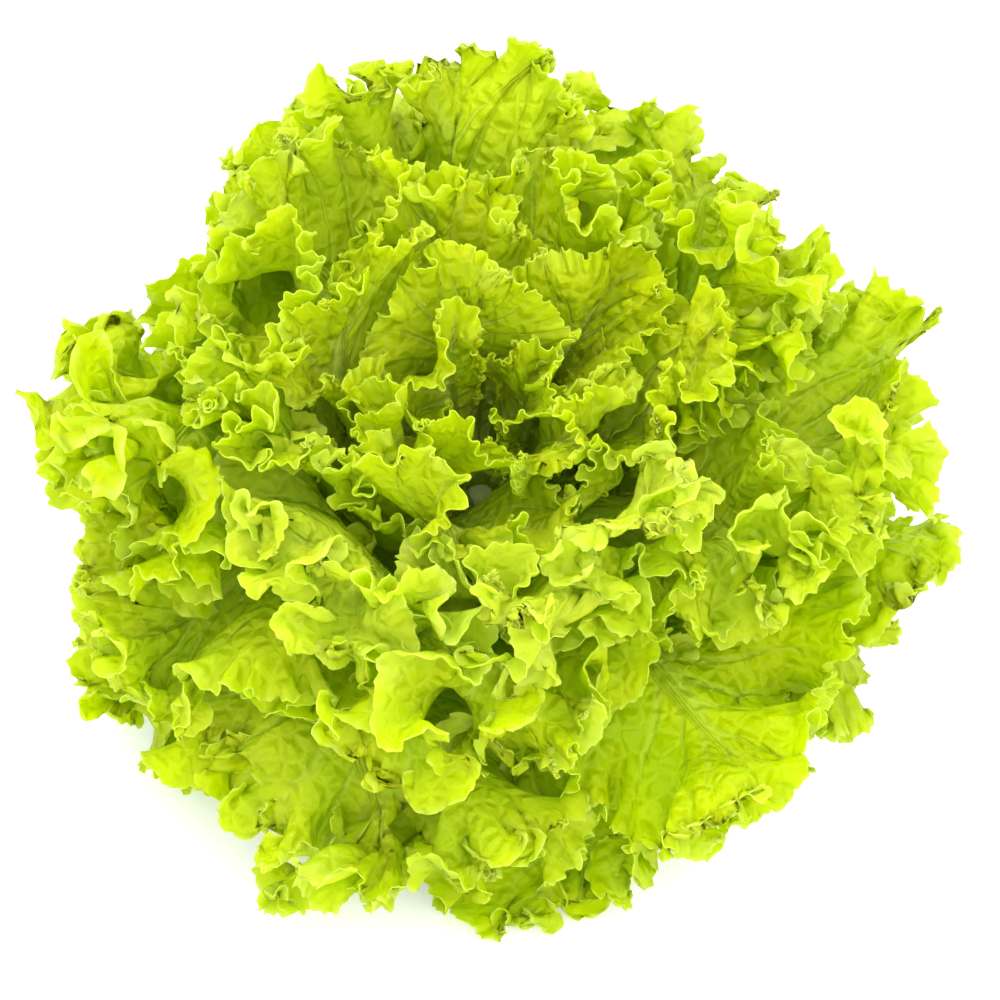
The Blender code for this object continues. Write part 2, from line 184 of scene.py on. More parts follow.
@dataclass(frozen=True)
class HeadForm:
    """Shape of the whole head: the dome of leaf tips, the stem and the uneven growth."""

    leaf_count: int = 34
    first_azimuth: float = math.radians(285)
    spiral_step: float = math.radians(137.508)
    seed: int = 500
    dome_radius: float = 0.143
    dome_centre: float = 0.056
    dome_height: float = 0.124
    heart_dip: float = 0.052
    dip_from: float = math.radians(38)
    dip_to: float = math.radians(90)
    lowest_tip: float = math.radians(-17)
    tip_sweep: float = math.radians(100)
    outer_droop: float = math.radians(21)
    back_lean: float = math.radians(10)
    front_lean: float = math.radians(6)
    lean_pivot: tuple[float, float] = (0.012, 0.030)
    lean_full: float = 0.07
    stalk_radius: tuple[float, float] = (0.020, 0.006)
    stalk_height: tuple[float, float] = (0.012, 0.060)
    growth_start: float = 1.25
    growth_full: float = 3.75
    floor_gap: float = 0.0025
    floor_softness: float = 0.006
    growth: tuple = (((0.0060, 0, 0), (0, 9.5, 6.7), 0.7), ((0.0035, 0, 0), (0, -11.1, 14.3), 2.1),
                     ((0, 0.0060, 0), (8.7, 0, -7.7), 4.1), ((0, 0.0035, 0), (13.3, 0, 12.5), 0.4),
                     ((0, 0, 0.0070), (10.5, 7.1, 0), 1.9), ((0, 0, 0.0040), (-9.1, 14.3, 0), 5.2))

    def midrib(self, age: float) -> Arc:
        """Arc of a leaf's midrib, from its foot on the stem to its tip on the dome.

        Args:
            age: 0 for the outermost leaf and 1 for the heart.

        Returns:
            The arc.
        """
        tip = self.lowest_tip + self.tip_sweep * age ** 0.92
        dip = self.heart_dip * float(smooth((tip - self.dip_from) / (self.dip_to - self.dip_from)))
        radius = between(self.stalk_radius, age)
        height = between(self.stalk_height, age)
        out = self.dome_radius * math.cos(tip) - radius
        up = self.dome_centre + self.dome_height * math.sin(tip) - dip - height
        end = tip - self.outer_droop * (1 - age) ** 1.5
        start = 2 * math.atan2(up, out) - end
        bend = (start - end) / 2
        chord = math.hypot(out, up)
        length = chord * bend / math.sin(bend) if abs(bend) > 1e-3 else chord
        return Arc(radius, height, start, end, length)

    def shell(self, age: float, along: Array, azimuth: Array) -> tuple[Array, Array, Array]:
        """Surface that the leaves of one age lie on.

        Args:
            age: Age of the leaves.
            along: Distance from the foot along the midrib.
            azimuth: Direction round the head.

        Returns:
            Radius, height and slope of the surface.
        """
        arc = self.midrib(age)
        turn = (arc.end - arc.start) / arc.length
        turn = turn if abs(turn) > 1e-3 else 1e-3
        slope = arc.start + turn * along
        out = arc.radius + (np.sin(slope) - math.sin(arc.start)) / turn - self.lean_pivot[0]
        up = arc.height - (np.cos(slope) - math.cos(arc.start)) / turn - self.lean_pivot[1]
        back = np.sin(azimuth)
        lean = np.where(back > 0, self.back_lean, self.front_lean) * back * smooth(along / self.lean_full)
        radius = self.lean_pivot[0] + out * np.cos(lean) - up * np.sin(lean)
        height = self.lean_pivot[1] + out * np.sin(lean) + up * np.cos(lean)
        return radius, height, slope + lean

    def settle(self, points: Array) -> Array:
        """Uneven growth that all leaves follow alike, and the floor under the lowest ones.

        Args:
            points: Points of the regular head.

        Returns:
            The same points, moved.
        """
        x, y, z = points[..., 0], points[..., 1], points[..., 2]
        off_stem = np.hypot(x, y) / self.stalk_radius[0] + z / self.stalk_height[1]
        grow = smooth((off_stem - self.growth_start) / (self.growth_full - self.growth_start))
        moved = points.copy()
        for push, rate, phase in self.growth:
            wave = grow * np.sin(math.tau * (points @ np.array(rate)) + phase)
            moved += wave[..., None] * np.array(push)
        soft = self.floor_softness * grow + 1e-4
        moved[..., 2] = self.floor_gap + soft * np.logaddexp(0, (moved[..., 2] - self.floor_gap) / soft)
        return moved


@dataclass(frozen=True)
class Ruffle:
    """Folds of one size along the margin, as the leaf solids have them."""

    waves: float
    length: float
    height: float
    roll: float
    depth: float
    share: float
    fade: float = 1.3
    uneven: float = 0.96
    swell: float = 0.35
    tightest: float = 0.6

    def laid(self, points: Array, leaf: "Leaf", order: int, flat: "FlatLeaf", room: Array) -> Array:
        """Lay the folds over a sheet.

        Args:
            points: The sheet by column and row.
            leaf: The leaf that it belongs to.
            order: Number of this size of folds, the largest first.
            flat: The leaf laid flat.
            room: Room on either side of each point.

        Returns:
            The folded sheet.
        """
        margin = flat.margin
        waves = self.waves * leaf.fullness
        wander = self.uneven * ripple(margin * waves * 0.9, Seed.FOLDS * order + leaf.index)
        phase = (math.pi * waves * margin + wander + leaf.index)[:, None]
        swell = 0.8 + self.swell * ripple(margin * waves * 0.6 + 3, Seed.SWELL * order + leaf.index)
        grow = np.exp(-(flat.inset / self.depth) ** self.fade) * flat.starts * swell[:, None]
        step = np.gradient(points, axis=0)
        along = unit(step)
        normal = unit(np.cross(along, np.gradient(points, axis=1)))
        most = self.share * room
        high = most * np.tanh(self.height * self.length / most)
        turn = np.linalg.norm(np.gradient(along, axis=0), axis=-1)
        bend = evened(turn / np.maximum(np.linalg.norm(step, axis=-1), 1e-5))
        high = high / np.sqrt(1 + (self.tightest * high * bend) ** 2)
        roll = self.roll / self.height * high * grow ** 2 * np.sin(2 * phase)
        return points + normal * (high * grow * np.sin(phase))[..., None] - along * roll[..., None]


@dataclass(frozen=True)
class LeafForm:
    """Outline and nesting of the leaves, shared by all of them."""

    outline: tuple = ((0.20, 0.0), (0.16, 0.13), (0.25, 0.27), (0.60, 0.43),
                      (0.95, 0.62), (0.97, 0.80), (0.62, 0.96), (0.0, 1.0))
    typical_width: float = 0.46
    half_width: tuple[float, float] = (0.066, 0.020)
    bulge: float = 0.044
    lobe_depth: float = 0.05
    lobe_rate: float = 9.0
    midrib_share: float = 0.86
    midrib_curve: float = 1.25
    margin_curve: float = 0.78
    vein_bow: float = 0.06
    cup: float = 0.10
    nest: float = 0.20
    tightest_wrap: float = 0.012
    length_spread: tuple[float, float] = (0.92, 1.06)
    width_spread: tuple[float, float] = (0.94, 1.08)
    azimuth_spread: float = 0.12
    twist_spread: float = 0.16
    raggedness: tuple[float, float] = (0.45, 1.15)
    least_fullness: float = 0.6
    front_turn: tuple[float, float] = (0.55, 0.35)
    front_age: tuple[float, float] = (0.62, 0.26)
    # Which leaves behind the heart get painted shade: turn round the head and age, each with its width.
    back_turn: tuple[float, float] = (0.1, 0.6)
    back_age: tuple[float, float] = (0.9, 0.25)
    ruffle_start: tuple[float, float] = (0.20, 0.42)
    folds: tuple[Ruffle, ...] = (Ruffle(7.0, 0.044, 0.36, 0.12, 0.060, 0.95),
                                 Ruffle(20.0, 0.020, 0.42, 0.14, 0.032, 0.75))
    neighbours: int = 13
    widest_gap: float = 0.045
    heart_gap: float = 0.45
    room_share: float = 0.90
    side_margin: float = 0.006
    end_margin: float = 0.005
    room_slope: float = 0.3
    solid_blade: float = 0.0009
    solid_stalk: float = 0.0030
    stalk_half_width: float = 0.011
    stalk_end: float = 0.62
    stalk_room: float = 1.4

    def edge(self, share: Array) -> tuple[Array, Array]:
        """Smooth outline, from the stalk's foot to the tip.

        Args:
            share: Shares of the outline's own length.

        Returns:
            Share of the half width and share of the length.
        """
        knots = np.array(self.outline)
        knots = np.vstack([2 * knots[0] - knots[1], knots, (-knots[-2][0], knots[-2][1])])
        at = np.linspace(0, len(self.outline) - 1, 800)
        k = np.minimum(at.astype(int), len(self.outline) - 2)
        f = (at - k)[:, None]
        curve = curved(*(knots[k + step] for step in range(4)), f)
        steps = np.hypot(*np.diff(curve * (self.typical_width, 1.0), axis=0).T)
        run = np.concatenate([[0.0], np.cumsum(steps)])
        return np.interp(share, run / run[-1], curve[:, 0]), np.interp(share, run / run[-1], curve[:, 1])


@dataclass
class FlatLeaf:
    """A leaf laid flat on a lattice: across, along, distance to the margin and fades."""

    margin: Array
    across: Array
    along: Array
    inset: Array
    share: Array
    starts: Array


class Leaf:
    """One leaf's place in the spiral and its size; age is 0 outside and 1 in the heart."""

    def __init__(self, index: int, head: HeadForm, form: LeafForm) -> None:
        """Draw the leaf's own size and place.

        Args:
            index: Number in the spiral, 0 for the outermost.
            head: Shape of the head.
            form: Shape of the leaves.
        """
        draw = np.random.default_rng(head.seed + index)
        self.index, self.head, self.form = index, head, form
        self.age = index / (head.leaf_count - 1)
        self.length = head.midrib(self.age).length * draw.uniform(*form.length_spread)
        width = between(form.half_width, self.age) + form.bulge * self.age * (1 - self.age)
        self.half_width = width * draw.uniform(*form.width_spread)
        turn = draw.uniform(-form.azimuth_spread, form.azimuth_spread)
        self.azimuth = head.first_azimuth + index * head.spiral_step + turn
        self.twist = draw.uniform(-form.twist_spread, form.twist_spread)
        by_width = (1 - form.least_fullness) * self.half_width / form.half_width[0]
        self.fullness = form.least_fullness + by_width
        self.raggedness = draw.uniform(*form.raggedness)

    @property
    def node(self) -> str:
        """Name of the leaf's solid."""
        return f"leaf_{self.index + 1:02d}"

    def faces_front(self) -> float:
        """How far it is one of the young leaves that stand in front of the heart."""
        (turn, turn_width), (age, age_width) = self.form.front_turn, self.form.front_age
        front = float(smooth((-math.sin(self.azimuth) - turn) / turn_width))
        return front * float(smooth(1 - abs(self.age - age) / age_width))

    def faces_back(self) -> float:
        """How far it is one of the leaves behind the heart that get painted shade, darker and more olive as
        if less lit.
        """
        (turn, turn_width), (age, age_width) = self.form.back_turn, self.form.back_age
        back = smooth((math.sin(self.azimuth) - turn) / turn_width)
        return float(back * smooth((age - self.age) / age_width))

    @property
    def frill_share(self) -> float:
        """How many small waves and how deep teeth it has, by its width."""
        return 1.5 * self.fullness - 0.5

    def centre(self, along: Array) -> Array:
        """Azimuth of the midrib at a distance along it."""
        return self.azimuth + self.twist * (along / self.length) ** 2

    def width_at(self, along: Array) -> Array:
        """Half width at a distance along the midrib."""
        across, share = self.form.edge(np.linspace(0, 1, 60))
        order = np.argsort(share)
        return self.half_width * np.interp(along / self.length, share[order], across[order])

    def laid_flat(self, margin: Array, rows: Array) -> FlatLeaf:
        """The leaf laid flat.

        Args:
            margin: Places round the leaf from -1 to 1, with the tip at 0.
            rows: Shares of the way from the midrib to the margin.

        Returns:
            The flat leaf on that lattice.
        """
        form = self.form
        share = (1 - np.abs(margin)) ** form.margin_curve
        across, up = form.edge(share)
        across = across * self.half_width * np.sign(margin)
        up = up * self.length
        rib = form.midrib_share * self.length * share ** form.midrib_curve
        lobe = ripple(margin * form.lobe_rate, Seed.LOBES + self.index) * smooth((share - 0.3) / 0.3)
        lobe = 1 + form.lobe_depth * lobe
        x = (across * lobe)[:, None] * rows
        y = rib[:, None] + ((up - rib) * lobe)[:, None] * rows
        bow = form.vein_bow * self.length * smooth((share - 0.2) / 0.4)
        y = y - bow[:, None] * rows * (1 - rows)
        inset = np.hypot(across, up - rib)[:, None] * (1 - rows)
        start, full = form.ruffle_start
        starts = smooth((share - start) / (full - start))[:, None] * smooth(rows / 0.35)
        return FlatLeaf(margin, x, y, inset, np.repeat(share[:, None], len(rows), 1), starts)

    def room(self, leaves: list["Leaf"], at: tuple[Array, Array, Array], along: Array,
             azimuth: Array) -> tuple[Array, Array]:
        """Half the distance to the next leaves, where they lie over this one.

        Args:
            leaves: All leaves of the head.
            at: Radius, height and slope of this leaf's shell.
            along: Distance along the midrib.
            azimuth: Direction round the head.

        Returns:
            Room inwards and room outwards.
        """
        form = self.form
        r, z, slope = at
        room = []
        for side in (1, -1):
            nearest = np.full(along.shape, form.widest_gap)
            if side == 1:
                nearest = np.minimum(nearest, form.heart_gap * r)
            for step in range(1, form.neighbours + 1):
                index = self.index + side * step
                if not 0 <= index < len(leaves):
                    continue
                other = leaves[index]
                other_r, other_z, _ = self.head.shell(other.age, along, azimuth)
                gap = np.abs((other_r - r) * np.sin(slope) - (other_z - z) * np.cos(slope))
                off = np.abs((azimuth - other.centre(along) + math.pi) % math.tau - math.pi)
                beside = (off - (other.width_at(along) + form.side_margin) / np.maximum(other_r, 0.01)) * r
                past = np.maximum(np.maximum(beside, along - other.length - form.end_margin), 0)
                nearest = np.minimum(nearest, gap / 2 + form.room_slope * past)
            room.append(nearest * form.room_share)
        return room[0], room[1]


@dataclass
class Sheet:
    """Middle surface of one leaf, before and after its large folds, with the room round it."""

    flat: FlatLeaf
    plain: Array
    folded: Array
    inward: Array
    inner: Array
    outer: Array
    thickness: Array

    @classmethod
    def of(cls, leaf: Leaf, leaves: list[Leaf], margin: Array, rows: Array, folds: int) -> "Sheet":
        """Lay a leaf on its shell.

        Args:
            leaf: The leaf.
            leaves: All leaves of the head.
            margin: Places round the leaf.
            rows: Shares of the way from the midrib to the margin.
            folds: How many sizes of folds to lay on it.

        Returns:
            The leaf's sheet.
        """
        form, head = leaf.form, leaf.head
        flat = leaf.laid_flat(margin, rows)
        x, y = flat.across, flat.along
        r, _, _ = head.shell(leaf.age, y, leaf.azimuth)
        azimuth = leaf.centre(y) + x / np.maximum(r, form.tightest_wrap)
        r, z, slope = head.shell(leaf.age, y, azimuth)
        inner, outer = leaf.room(leaves, (r, z, slope), y, azimuth)
        room = (inner + outer) / 2
        cup = np.minimum(form.cup * np.abs(x), room) * smooth(2 * y / leaf.length)
        cup = cup - form.nest * room + (inner - outer) / 4 * smooth(y / 0.04)
        inward = np.stack([-np.sin(slope) * np.cos(azimuth), -np.sin(slope) * np.sin(azimuth),
                           np.cos(slope)], -1)
        plain = np.stack([r * np.cos(azimuth), r * np.sin(azimuth), z], -1) + inward * cup[..., None]
        folded = plain
        for order, ruffle in enumerate(form.folds[:folds]):
            folded = ruffle.laid(folded, leaf, order, flat, room)
        stalk = np.exp(-(x / form.stalk_half_width) ** 2) * smooth(1 - y / leaf.length / form.stalk_end)
        wall = np.maximum(np.minimum(form.solid_stalk, form.stalk_room * room), form.solid_blade)
        thickness = form.solid_blade + (wall - form.solid_blade) * stalk
        return cls(flat, head.settle(plain), head.settle(folded), inward, inner, outer, thickness)


@dataclass(frozen=True)
class NetPlan:
    """Plan of a blade's net: rows from midrib to margin, and where its columns double."""

    rows: tuple[float, ...]
    doubled: tuple[int, ...]
    columns: int

    @property
    def finest(self) -> int:
        """Number of columns along the margin."""
        return self.columns * 2 ** len(self.doubled)

    def fitted(self, sheet: Array) -> Array:
        """Sheet on this plan's columns, with each row as even as its own columns are wide.

        Args:
            sheet: Values by column, row and axis.

        Returns:
            The values on the finest columns.
        """
        rows = []
        for row in range(len(self.rows)):
            wide = 2 ** sum(level > row for level in self.doubled)
            rows.append(evened(sheet[:, row], wide / 2 / self.finest) if wide > 1 else sheet[:, row])
        return recounted(np.stack(rows, 1), self.finest + 1)

    def built(self) -> "Net":
        """Net of triangles, joined along its midrib.

        Returns:
            The net with each point's column and row.
        """
        net = bmesh.new()
        last = len(self.rows) - 1
        bmesh.ops.create_grid(net, x_segments=self.columns, y_segments=last, size=1.0)
        for row in self.doubled:
            level = [edge for edge in net.edges
                     if abs(edge.verts[0].co.y - edge.verts[1].co.y) < 1e-4
                     and round((edge.verts[0].co.y + 1) / 2 * last) >= row]
            bmesh.ops.subdivide_edges(net, edges=level, cuts=1, use_grid_fill=True)
        bmesh.ops.triangulate(net, faces=net.faces)
        rib = sorted((vert for vert in net.verts if vert.co.y < -0.999), key=lambda vert: vert.co.x)
        bmesh.ops.weld_verts(net, targetmap=dict(zip(rib[:len(rib) // 2], reversed(rib))))
        net.verts.index_update()
        column = np.array([round((vert.co.x + 1) / 2 * self.finest) for vert in net.verts])
        row = np.array([round((vert.co.y + 1) / 2 * last) for vert in net.verts])
        return Net(net, column, row)


@dataclass
class Net:
    """A blade's net, with each point's column and row on the leaf's sheet."""

    mesh: bmesh.types.BMesh
    column: Array
    row: Array
    faces: list[tuple[int, ...]] = field(init=False)

    def __post_init__(self) -> None:
        """Read the corners of the faces."""
        self.faces = [tuple(vert.index for vert in face.verts) for face in self.mesh.faces]

    def normals(self, points: Array) -> Array:
        """Area-weighted normals of the net on these points."""
        corners = np.array(self.faces)
        a, b, c = (points[corners[:, corner]] for corner in range(3))
        flat = np.cross(b - a, c - a)
        normals = np.zeros_like(points)
        for corner in range(3):
            np.add.at(normals, corners[:, corner], flat)
        return unit(normals)


# Leaves with little room at the tip: the index of each and the share of its folds that is kept.
FLATTER_LEAVES = ((8, 0.4),)
# The coarse net that the leaf solids are built on.
SOLID_NET = NetPlan((0.0, 0.45, 0.78, 1.0), (2, 3), 16)


@dataclass
class SolidBlade:
    """A leaf solid's sheet on its own coarse net, and how it makes room for its neighbours."""

    net: Net
    points: Array
    inward: Array
    thickness: Array
    floor: float
    clearance: float = 0.0006
    axis_clear: tuple[float, float] = (0.008, 0.03)

    @classmethod
    def of(cls, leaf: Leaf, leaves: list[Leaf], net: Net, finer: int = 4) -> "SolidBlade":
        """Sheet of a leaf solid.

        Args:
            leaf: The leaf.
            leaves: All leaves of the head.
            net: The solids' net.
            finer: How many times finer the sheet is worked out.

        Returns:
            The solid's sheet.
        """
        margin = np.linspace(-1, 1, finer * SOLID_NET.finest + 1)
        steps = len(SOLID_NET.rows) - 1
        rows = np.interp(np.arange(finer * steps + 1) / finer, range(steps + 1), SOLID_NET.rows)
        sheet = Sheet.of(leaf, leaves, margin, rows, 2)
        coarse = (slice(None, None, finer), slice(None, None, finer))
        return cls(net, sheet.folded[coarse].copy(), sheet.inward[coarse], sheet.thickness[coarse],
                   leaf.head.floor_gap)

    def tree(self) -> BVHTree:
        """Both faces of the leaf, each with half the clearance over it."""
        points = self.points[self.net.column, self.net.row]
        wall = self.thickness[self.net.column, self.net.row] + self.clearance
        offset = self.net.normals(points) * wall[:, None] / 2
        count = len(points)
        faces = self.net.faces + [tuple(corner + count for corner in face) for face in self.net.faces]
        return BVHTree.FromPolygons(np.concatenate([points + offset, points - offset]).tolist(), faces)

    def push(self, touched: set[int], step: float) -> None:
        """Move the touched points, and less those beside them, across the shell.

        Args:
            touched: Faces that another leaf touches.
            step: Distance, inwards where it is positive.
        """
        force = np.zeros(self.points.shape[:2])
        for face in touched:
            for corner in self.net.faces[face % len(self.net.faces)]:
                force[self.net.column[corner], self.net.row[corner]] = 1
        for axis in (0, 1):
            padded = np.pad(force, [(1, 1) if axis == side else (0, 0) for side in (0, 1)], mode="edge")
            ahead = np.take(padded, range(2, padded.shape[axis]), axis)
            behind = np.take(padded, range(padded.shape[axis] - 2), axis)
            force = np.maximum(force, (ahead + behind) / 2.5)
        if step > 0:
            off_axis = np.hypot(self.points[..., 0], self.points[..., 1]) - self.axis_clear[0]
            force = force * smooth(off_axis / self.axis_clear[1])
        self.points += self.inward * (force * step)[..., None]
        self.points[..., 2] = np.maximum(self.points[..., 2], self.floor)


def eased_apart(blades: list[SolidBlade], rounds: int = 90, step: float = 0.0005) -> Array:
    """Shift leaf solids that meet, the older one outwards and the younger one inwards.

    Args:
        blades: The solids' sheets, the outermost first.
        rounds: Most rounds of shifting.
        step: Distance of one shift.

    Returns:
        How far each point of each sheet has moved.
    """
    before = np.stack([blade.points for blade in blades])
    pairs = [(older, younger) for younger in range(len(blades)) for older in range(younger)]
    moved = set(range(len(blades)))
    trees: dict[int, BVHTree] = {}
    for _ in range(rounds):
        trees.update({index: blades[index].tree() for index in moved})
        touched: dict[tuple[int, float], set[int]] = {}
        for older, younger in pairs:
            if older not in moved and younger not in moved:
                continue
            for outer_face, inner_face in trees[older].overlap(trees[younger]):
                touched.setdefault((older, -step), set()).add(outer_face)
                touched.setdefault((younger, step), set()).add(inner_face)
        if not touched:
            break
        moved = {index for index, _ in touched}
        for (index, shift), faces in touched.items():
            blades[index].push(faces, shift)
    return np.stack([blade.points for blade in blades]) - before


@dataclass
class Lattice:
    """Sheets of all leaves on one lattice, by leaf, column and row."""

    margin: Array
    rows: Array
    plain: Array
    folded: Array
    inward: Array
    inner: Array
    outer: Array
    inset: Array
    share: Array
    across: Array
    along: Array
    thickness: Array

    @classmethod
    def of(cls, leaves: list[Leaf], columns: int, rows: Array, shifts: Array) -> "Lattice":
        """Sheets of all leaves, moved as their solids were.

        Args:
            leaves: All leaves of the head.
            columns: Number of columns round a leaf.
            rows: Shares of the way from the midrib to the margin.
            shifts: How far the points of the solids' sheets had moved.

        Returns:
            The lattice.
        """
        margin = np.linspace(-1, 1, columns)
        sheets = [Sheet.of(leaf, leaves, margin, rows, 1) for leaf in leaves]
        coarse = np.linspace(-1, 1, shifts.shape[1])
        moved = resampled(shifts, coarse, np.array(SOLID_NET.rows), margin, rows)
        layers = [np.stack([getattr(sheet, name) for sheet in sheets])
                  for name in ("plain", "folded", "inward", "inner", "outer")]
        layers += [np.stack([getattr(sheet.flat, name) for sheet in sheets])
                   for name in ("inset", "share", "across", "along")]
        layers.append(np.stack([sheet.thickness for sheet in sheets]))
        for leaf, share in FLATTER_LEAVES:
            layers[1][leaf] += (1 - share) * (layers[0][leaf] - layers[1][leaf])
        layers[0] += moved
        layers[1] += moved
        return cls(margin, rows, *(layer.astype(np.float32) for layer in layers))


@dataclass(frozen=True)
class Frill:
    """One generation of the margin's growth, and how finely it is worked out."""

    waves: float
    seed_height: float
    seed_depth: float
    extra: float
    depth: float
    fade: float
    patches: float
    patch_least: float
    columns: int
    rows: tuple[float, ...]
    steps: int
    grown_by: float
    stiffness: float
    stiff_rows: int
    stiff_passes: int
    # Leaves that grow less: the index of each and its share of the growth.
    calm: tuple[tuple[int, float], ...] = ((8, 0.6), (10, 0.8))

    def extra_length(self, lattice: Lattice, order: int, heart_share: float) -> Array:
        """Extra length along the margin, as a share of the folded leaf's own.

        Args:
            lattice: Sheets of all leaves.
            order: Number of this generation.
            heart_share: How much of it the youngest leaf gets.

        Returns:
            The share at each point.
        """
        patches = np.stack([ripple(lattice.margin * self.patches, Seed.PATCHES + PATCH_STEP * order + leaf)
                            for leaf in range(len(lattice.plain))])
        patches = np.clip(1 + (1 - self.patch_least) * 1.3 * patches, self.patch_least, 2 - self.patch_least)
        ages = np.linspace(0, 1, len(patches))[:, None, None]
        extra = self.extra * (1 - (1 - heart_share) * smooth((ages - 0.45) / 0.5))
        for leaf, share in self.calm:
            extra[leaf] *= share
        extra = extra * smooth((lattice.rows - lattice.rows[0]) / 0.34)
        return extra * np.exp(-(lattice.inset / self.depth) ** self.fade) * patches[:, :, None]

    def seeded(self, points: Array, lattice: Lattice, leaves: list[Leaf], order: int) -> Array:
        """Low waves from which the curls grow.

        Args:
            points: The leaves' sheets.
            lattice: The sheets before any growth.
            leaves: All leaves of the head.
            order: Number of this generation.

        Returns:
            The sheets with low waves along the margin.
        """
        out = points.copy()
        for leaf, sheet in zip(leaves, points):
            count = self.waves * leaf.frill_share
            phase = math.pi * count * lattice.margin + leaf.index
            phase = phase + 0.96 * ripple(lattice.margin * count * 0.9, Seed.FOLDS * order + leaf.index)
            grow = np.exp(-(lattice.inset[leaf.index] / self.seed_depth) ** 1.3)
            grow = grow * smooth((lattice.share[leaf.index] - 0.2) / 0.22)
            normal = unit(np.cross(np.gradient(sheet, axis=0), np.gradient(sheet, axis=1)))
            out[leaf.index] += normal * (self.seed_height * grow * np.sin(phase)[:, None])[..., None]
        return out


class Relaxation:
    """Lets grown sheets find their shape, by moving points until each edge has its length."""

    def __init__(self, lattice: Lattice, extra: Array, frill: Frill, margins: "MarginGrowth") -> None:
        """Work out lengths, weights and stiffness.

        Args:
            lattice: The sheets before any growth.
            extra: Extra length along the margin at each point.
            frill: The generation that is grown.
            margins: Settings that all generations share.
        """
        folded = lattice.folded
        self.lattice, self.frill, self.margins = lattice, frill, margins
        starts = smooth((lattice.share - 0.22) / 0.2)
        self.extra = extra * starts
        free_from, pinned_from = margins.free_to, margins.pinned_from
        weight = smooth((pinned_from - lattice.inset) / (pinned_from - free_from)) * starts
        weight = weight * smooth((lattice.rows - lattice.rows[0]) / 0.3)
        self.weight = weight.astype(np.float32)
        self.along = folded[:, 1:] - folded[:, :-1]
        self.out = folded[:, :, 1:] - folded[:, :, :-1]
        spacing = np.linalg.norm(self.along, axis=-1)
        ratio = (spacing[:, :, -1:].mean(axis=1, keepdims=True) / np.maximum(spacing, 1e-6)) ** 2
        ratio = np.clip(ratio, 0.5, 1 / frill.stiffness) * frill.stiffness
        self.column_stiffness = np.concatenate([ratio, ratio[:, -1:]], 1) * self.weight
        self.row_stiffness = margins.row_stiffness * self.weight
        self.column_rest = (folded[:, :-2] + folded[:, 2:]) / 2 - folded[:, 1:-1]
        self.row_rest = (folded[:, :, :-2] + folded[:, :, 2:]) / 2 - folded[:, :, 1:-1]

    def lengths(self, share: float) -> tuple[Array, Array, Array, Array]:
        """Lengths that the edges are to have.

        Args:
            share: Share of the growth so far.

        Returns:
            Lengths along the margin, out to it, and of both diagonals.
        """
        extra, widen = self.extra, self.margins.widening
        along = (extra[:, 1:] + extra[:, :-1]) / 2
        out = 1 + share * widen * np.minimum((extra[:, :, 1:] + extra[:, :, :-1]) / 2, 1)
        cell = (along[:, :, 1:] + along[:, :, :-1]) / 2
        a = (self.along[:, :, 1:] + self.along[:, :, :-1]) / 2 * (1 + share * cell)[..., None]
        b = (self.out[:, 1:] + self.out[:, :-1]) / 2
        b = b * (1 + share * widen * np.minimum(cell, 1))[..., None]
        return (np.linalg.norm(self.along, axis=-1) * (1 + share * along),
                np.linalg.norm(self.out, axis=-1) * out,
                np.linalg.norm(a + b, axis=-1), np.linalg.norm(a - b, axis=-1))

    def pull(self, points: Array, first: tuple, second: tuple, length: Array, strength: float) -> None:
        """Bring pairs of points to their distance.

        Args:
            points: All points.
            first: Where the first points of the pairs are.
            second: Where the second ones are.
            length: The distances.
            strength: Share of the way in one go.
        """
        gap = points[second] - points[first]
        long = np.sqrt(np.einsum("...k,...k->...", gap, gap)) + np.float32(1e-9)
        one, other = self.weight[first], self.weight[second]
        gap *= ((long - length) / (long * (one + other + np.float32(1e-6))) * np.float32(strength))[..., None]
        points[first] += gap * one[..., None]
        points[second] -= gap * other[..., None]

    def stretch(self, points: Array, lengths: tuple[Array, Array, Array, Array]) -> None:
        """Bring every edge to its length, every second one at a time."""
        every = slice(None)
        columns, rows = points.shape[1], points.shape[2]
        for start in (0, 1):
            end = start + (columns - start) // 2 * 2
            first, second = slice(start, end, 2), slice(start + 1, end, 2)
            self.pull(points, (every, first), (every, second), lengths[0][:, first], 1.0)
        for start in (0, 1):
            end = start + (rows - start) // 2 * 2
            first, second = slice(start, end, 2), slice(start + 1, end, 2)
            self.pull(points, (every, every, first), (every, every, second), lengths[1][:, :, first], 1.0)
        for start, row in ((0, 0), (0, 1), (1, 0), (1, 1)):
            end = start + (columns - start) // 2 * 2
            last = row + (rows - row) // 2 * 2
            left, right = slice(start, end, 2), slice(start + 1, end, 2)
            low, high = slice(row, last, 2), slice(row + 1, last, 2)
            shear = self.margins.shear_stiffness
            self.pull(points, (every, left, low), (every, right, high), lengths[2][:, left, low], shear)
            self.pull(points, (every, left, high), (every, right, low), lengths[3][:, left, low], shear)

    def stiffen(self, points: Array) -> None:
        """Even out the bending along and across the margin."""
        for rows in [slice(None)] + [slice(self.frill.stiff_rows)] * self.frill.stiff_passes:
            part = points[:, :, rows]
            curve = (part[:, :-2] + part[:, 2:]) / 2 - part[:, 1:-1] - self.column_rest[:, :, rows]
            curve *= self.column_stiffness[:, 1:-1, rows, None] / 2
            part[:, 1:-1] += curve
            part[:, :-2] -= curve / 2
            part[:, 2:] -= curve / 2
        curve = (points[:, :, :-2] + points[:, :, 2:]) / 2 - points[:, :, 1:-1] - self.row_rest
        curve *= self.row_stiffness[:, :, 1:-1, None] / 2
        points[:, :, 1:-1] += curve
        points[:, :, :-2] -= curve / 2
        points[:, :, 2:] -= curve / 2

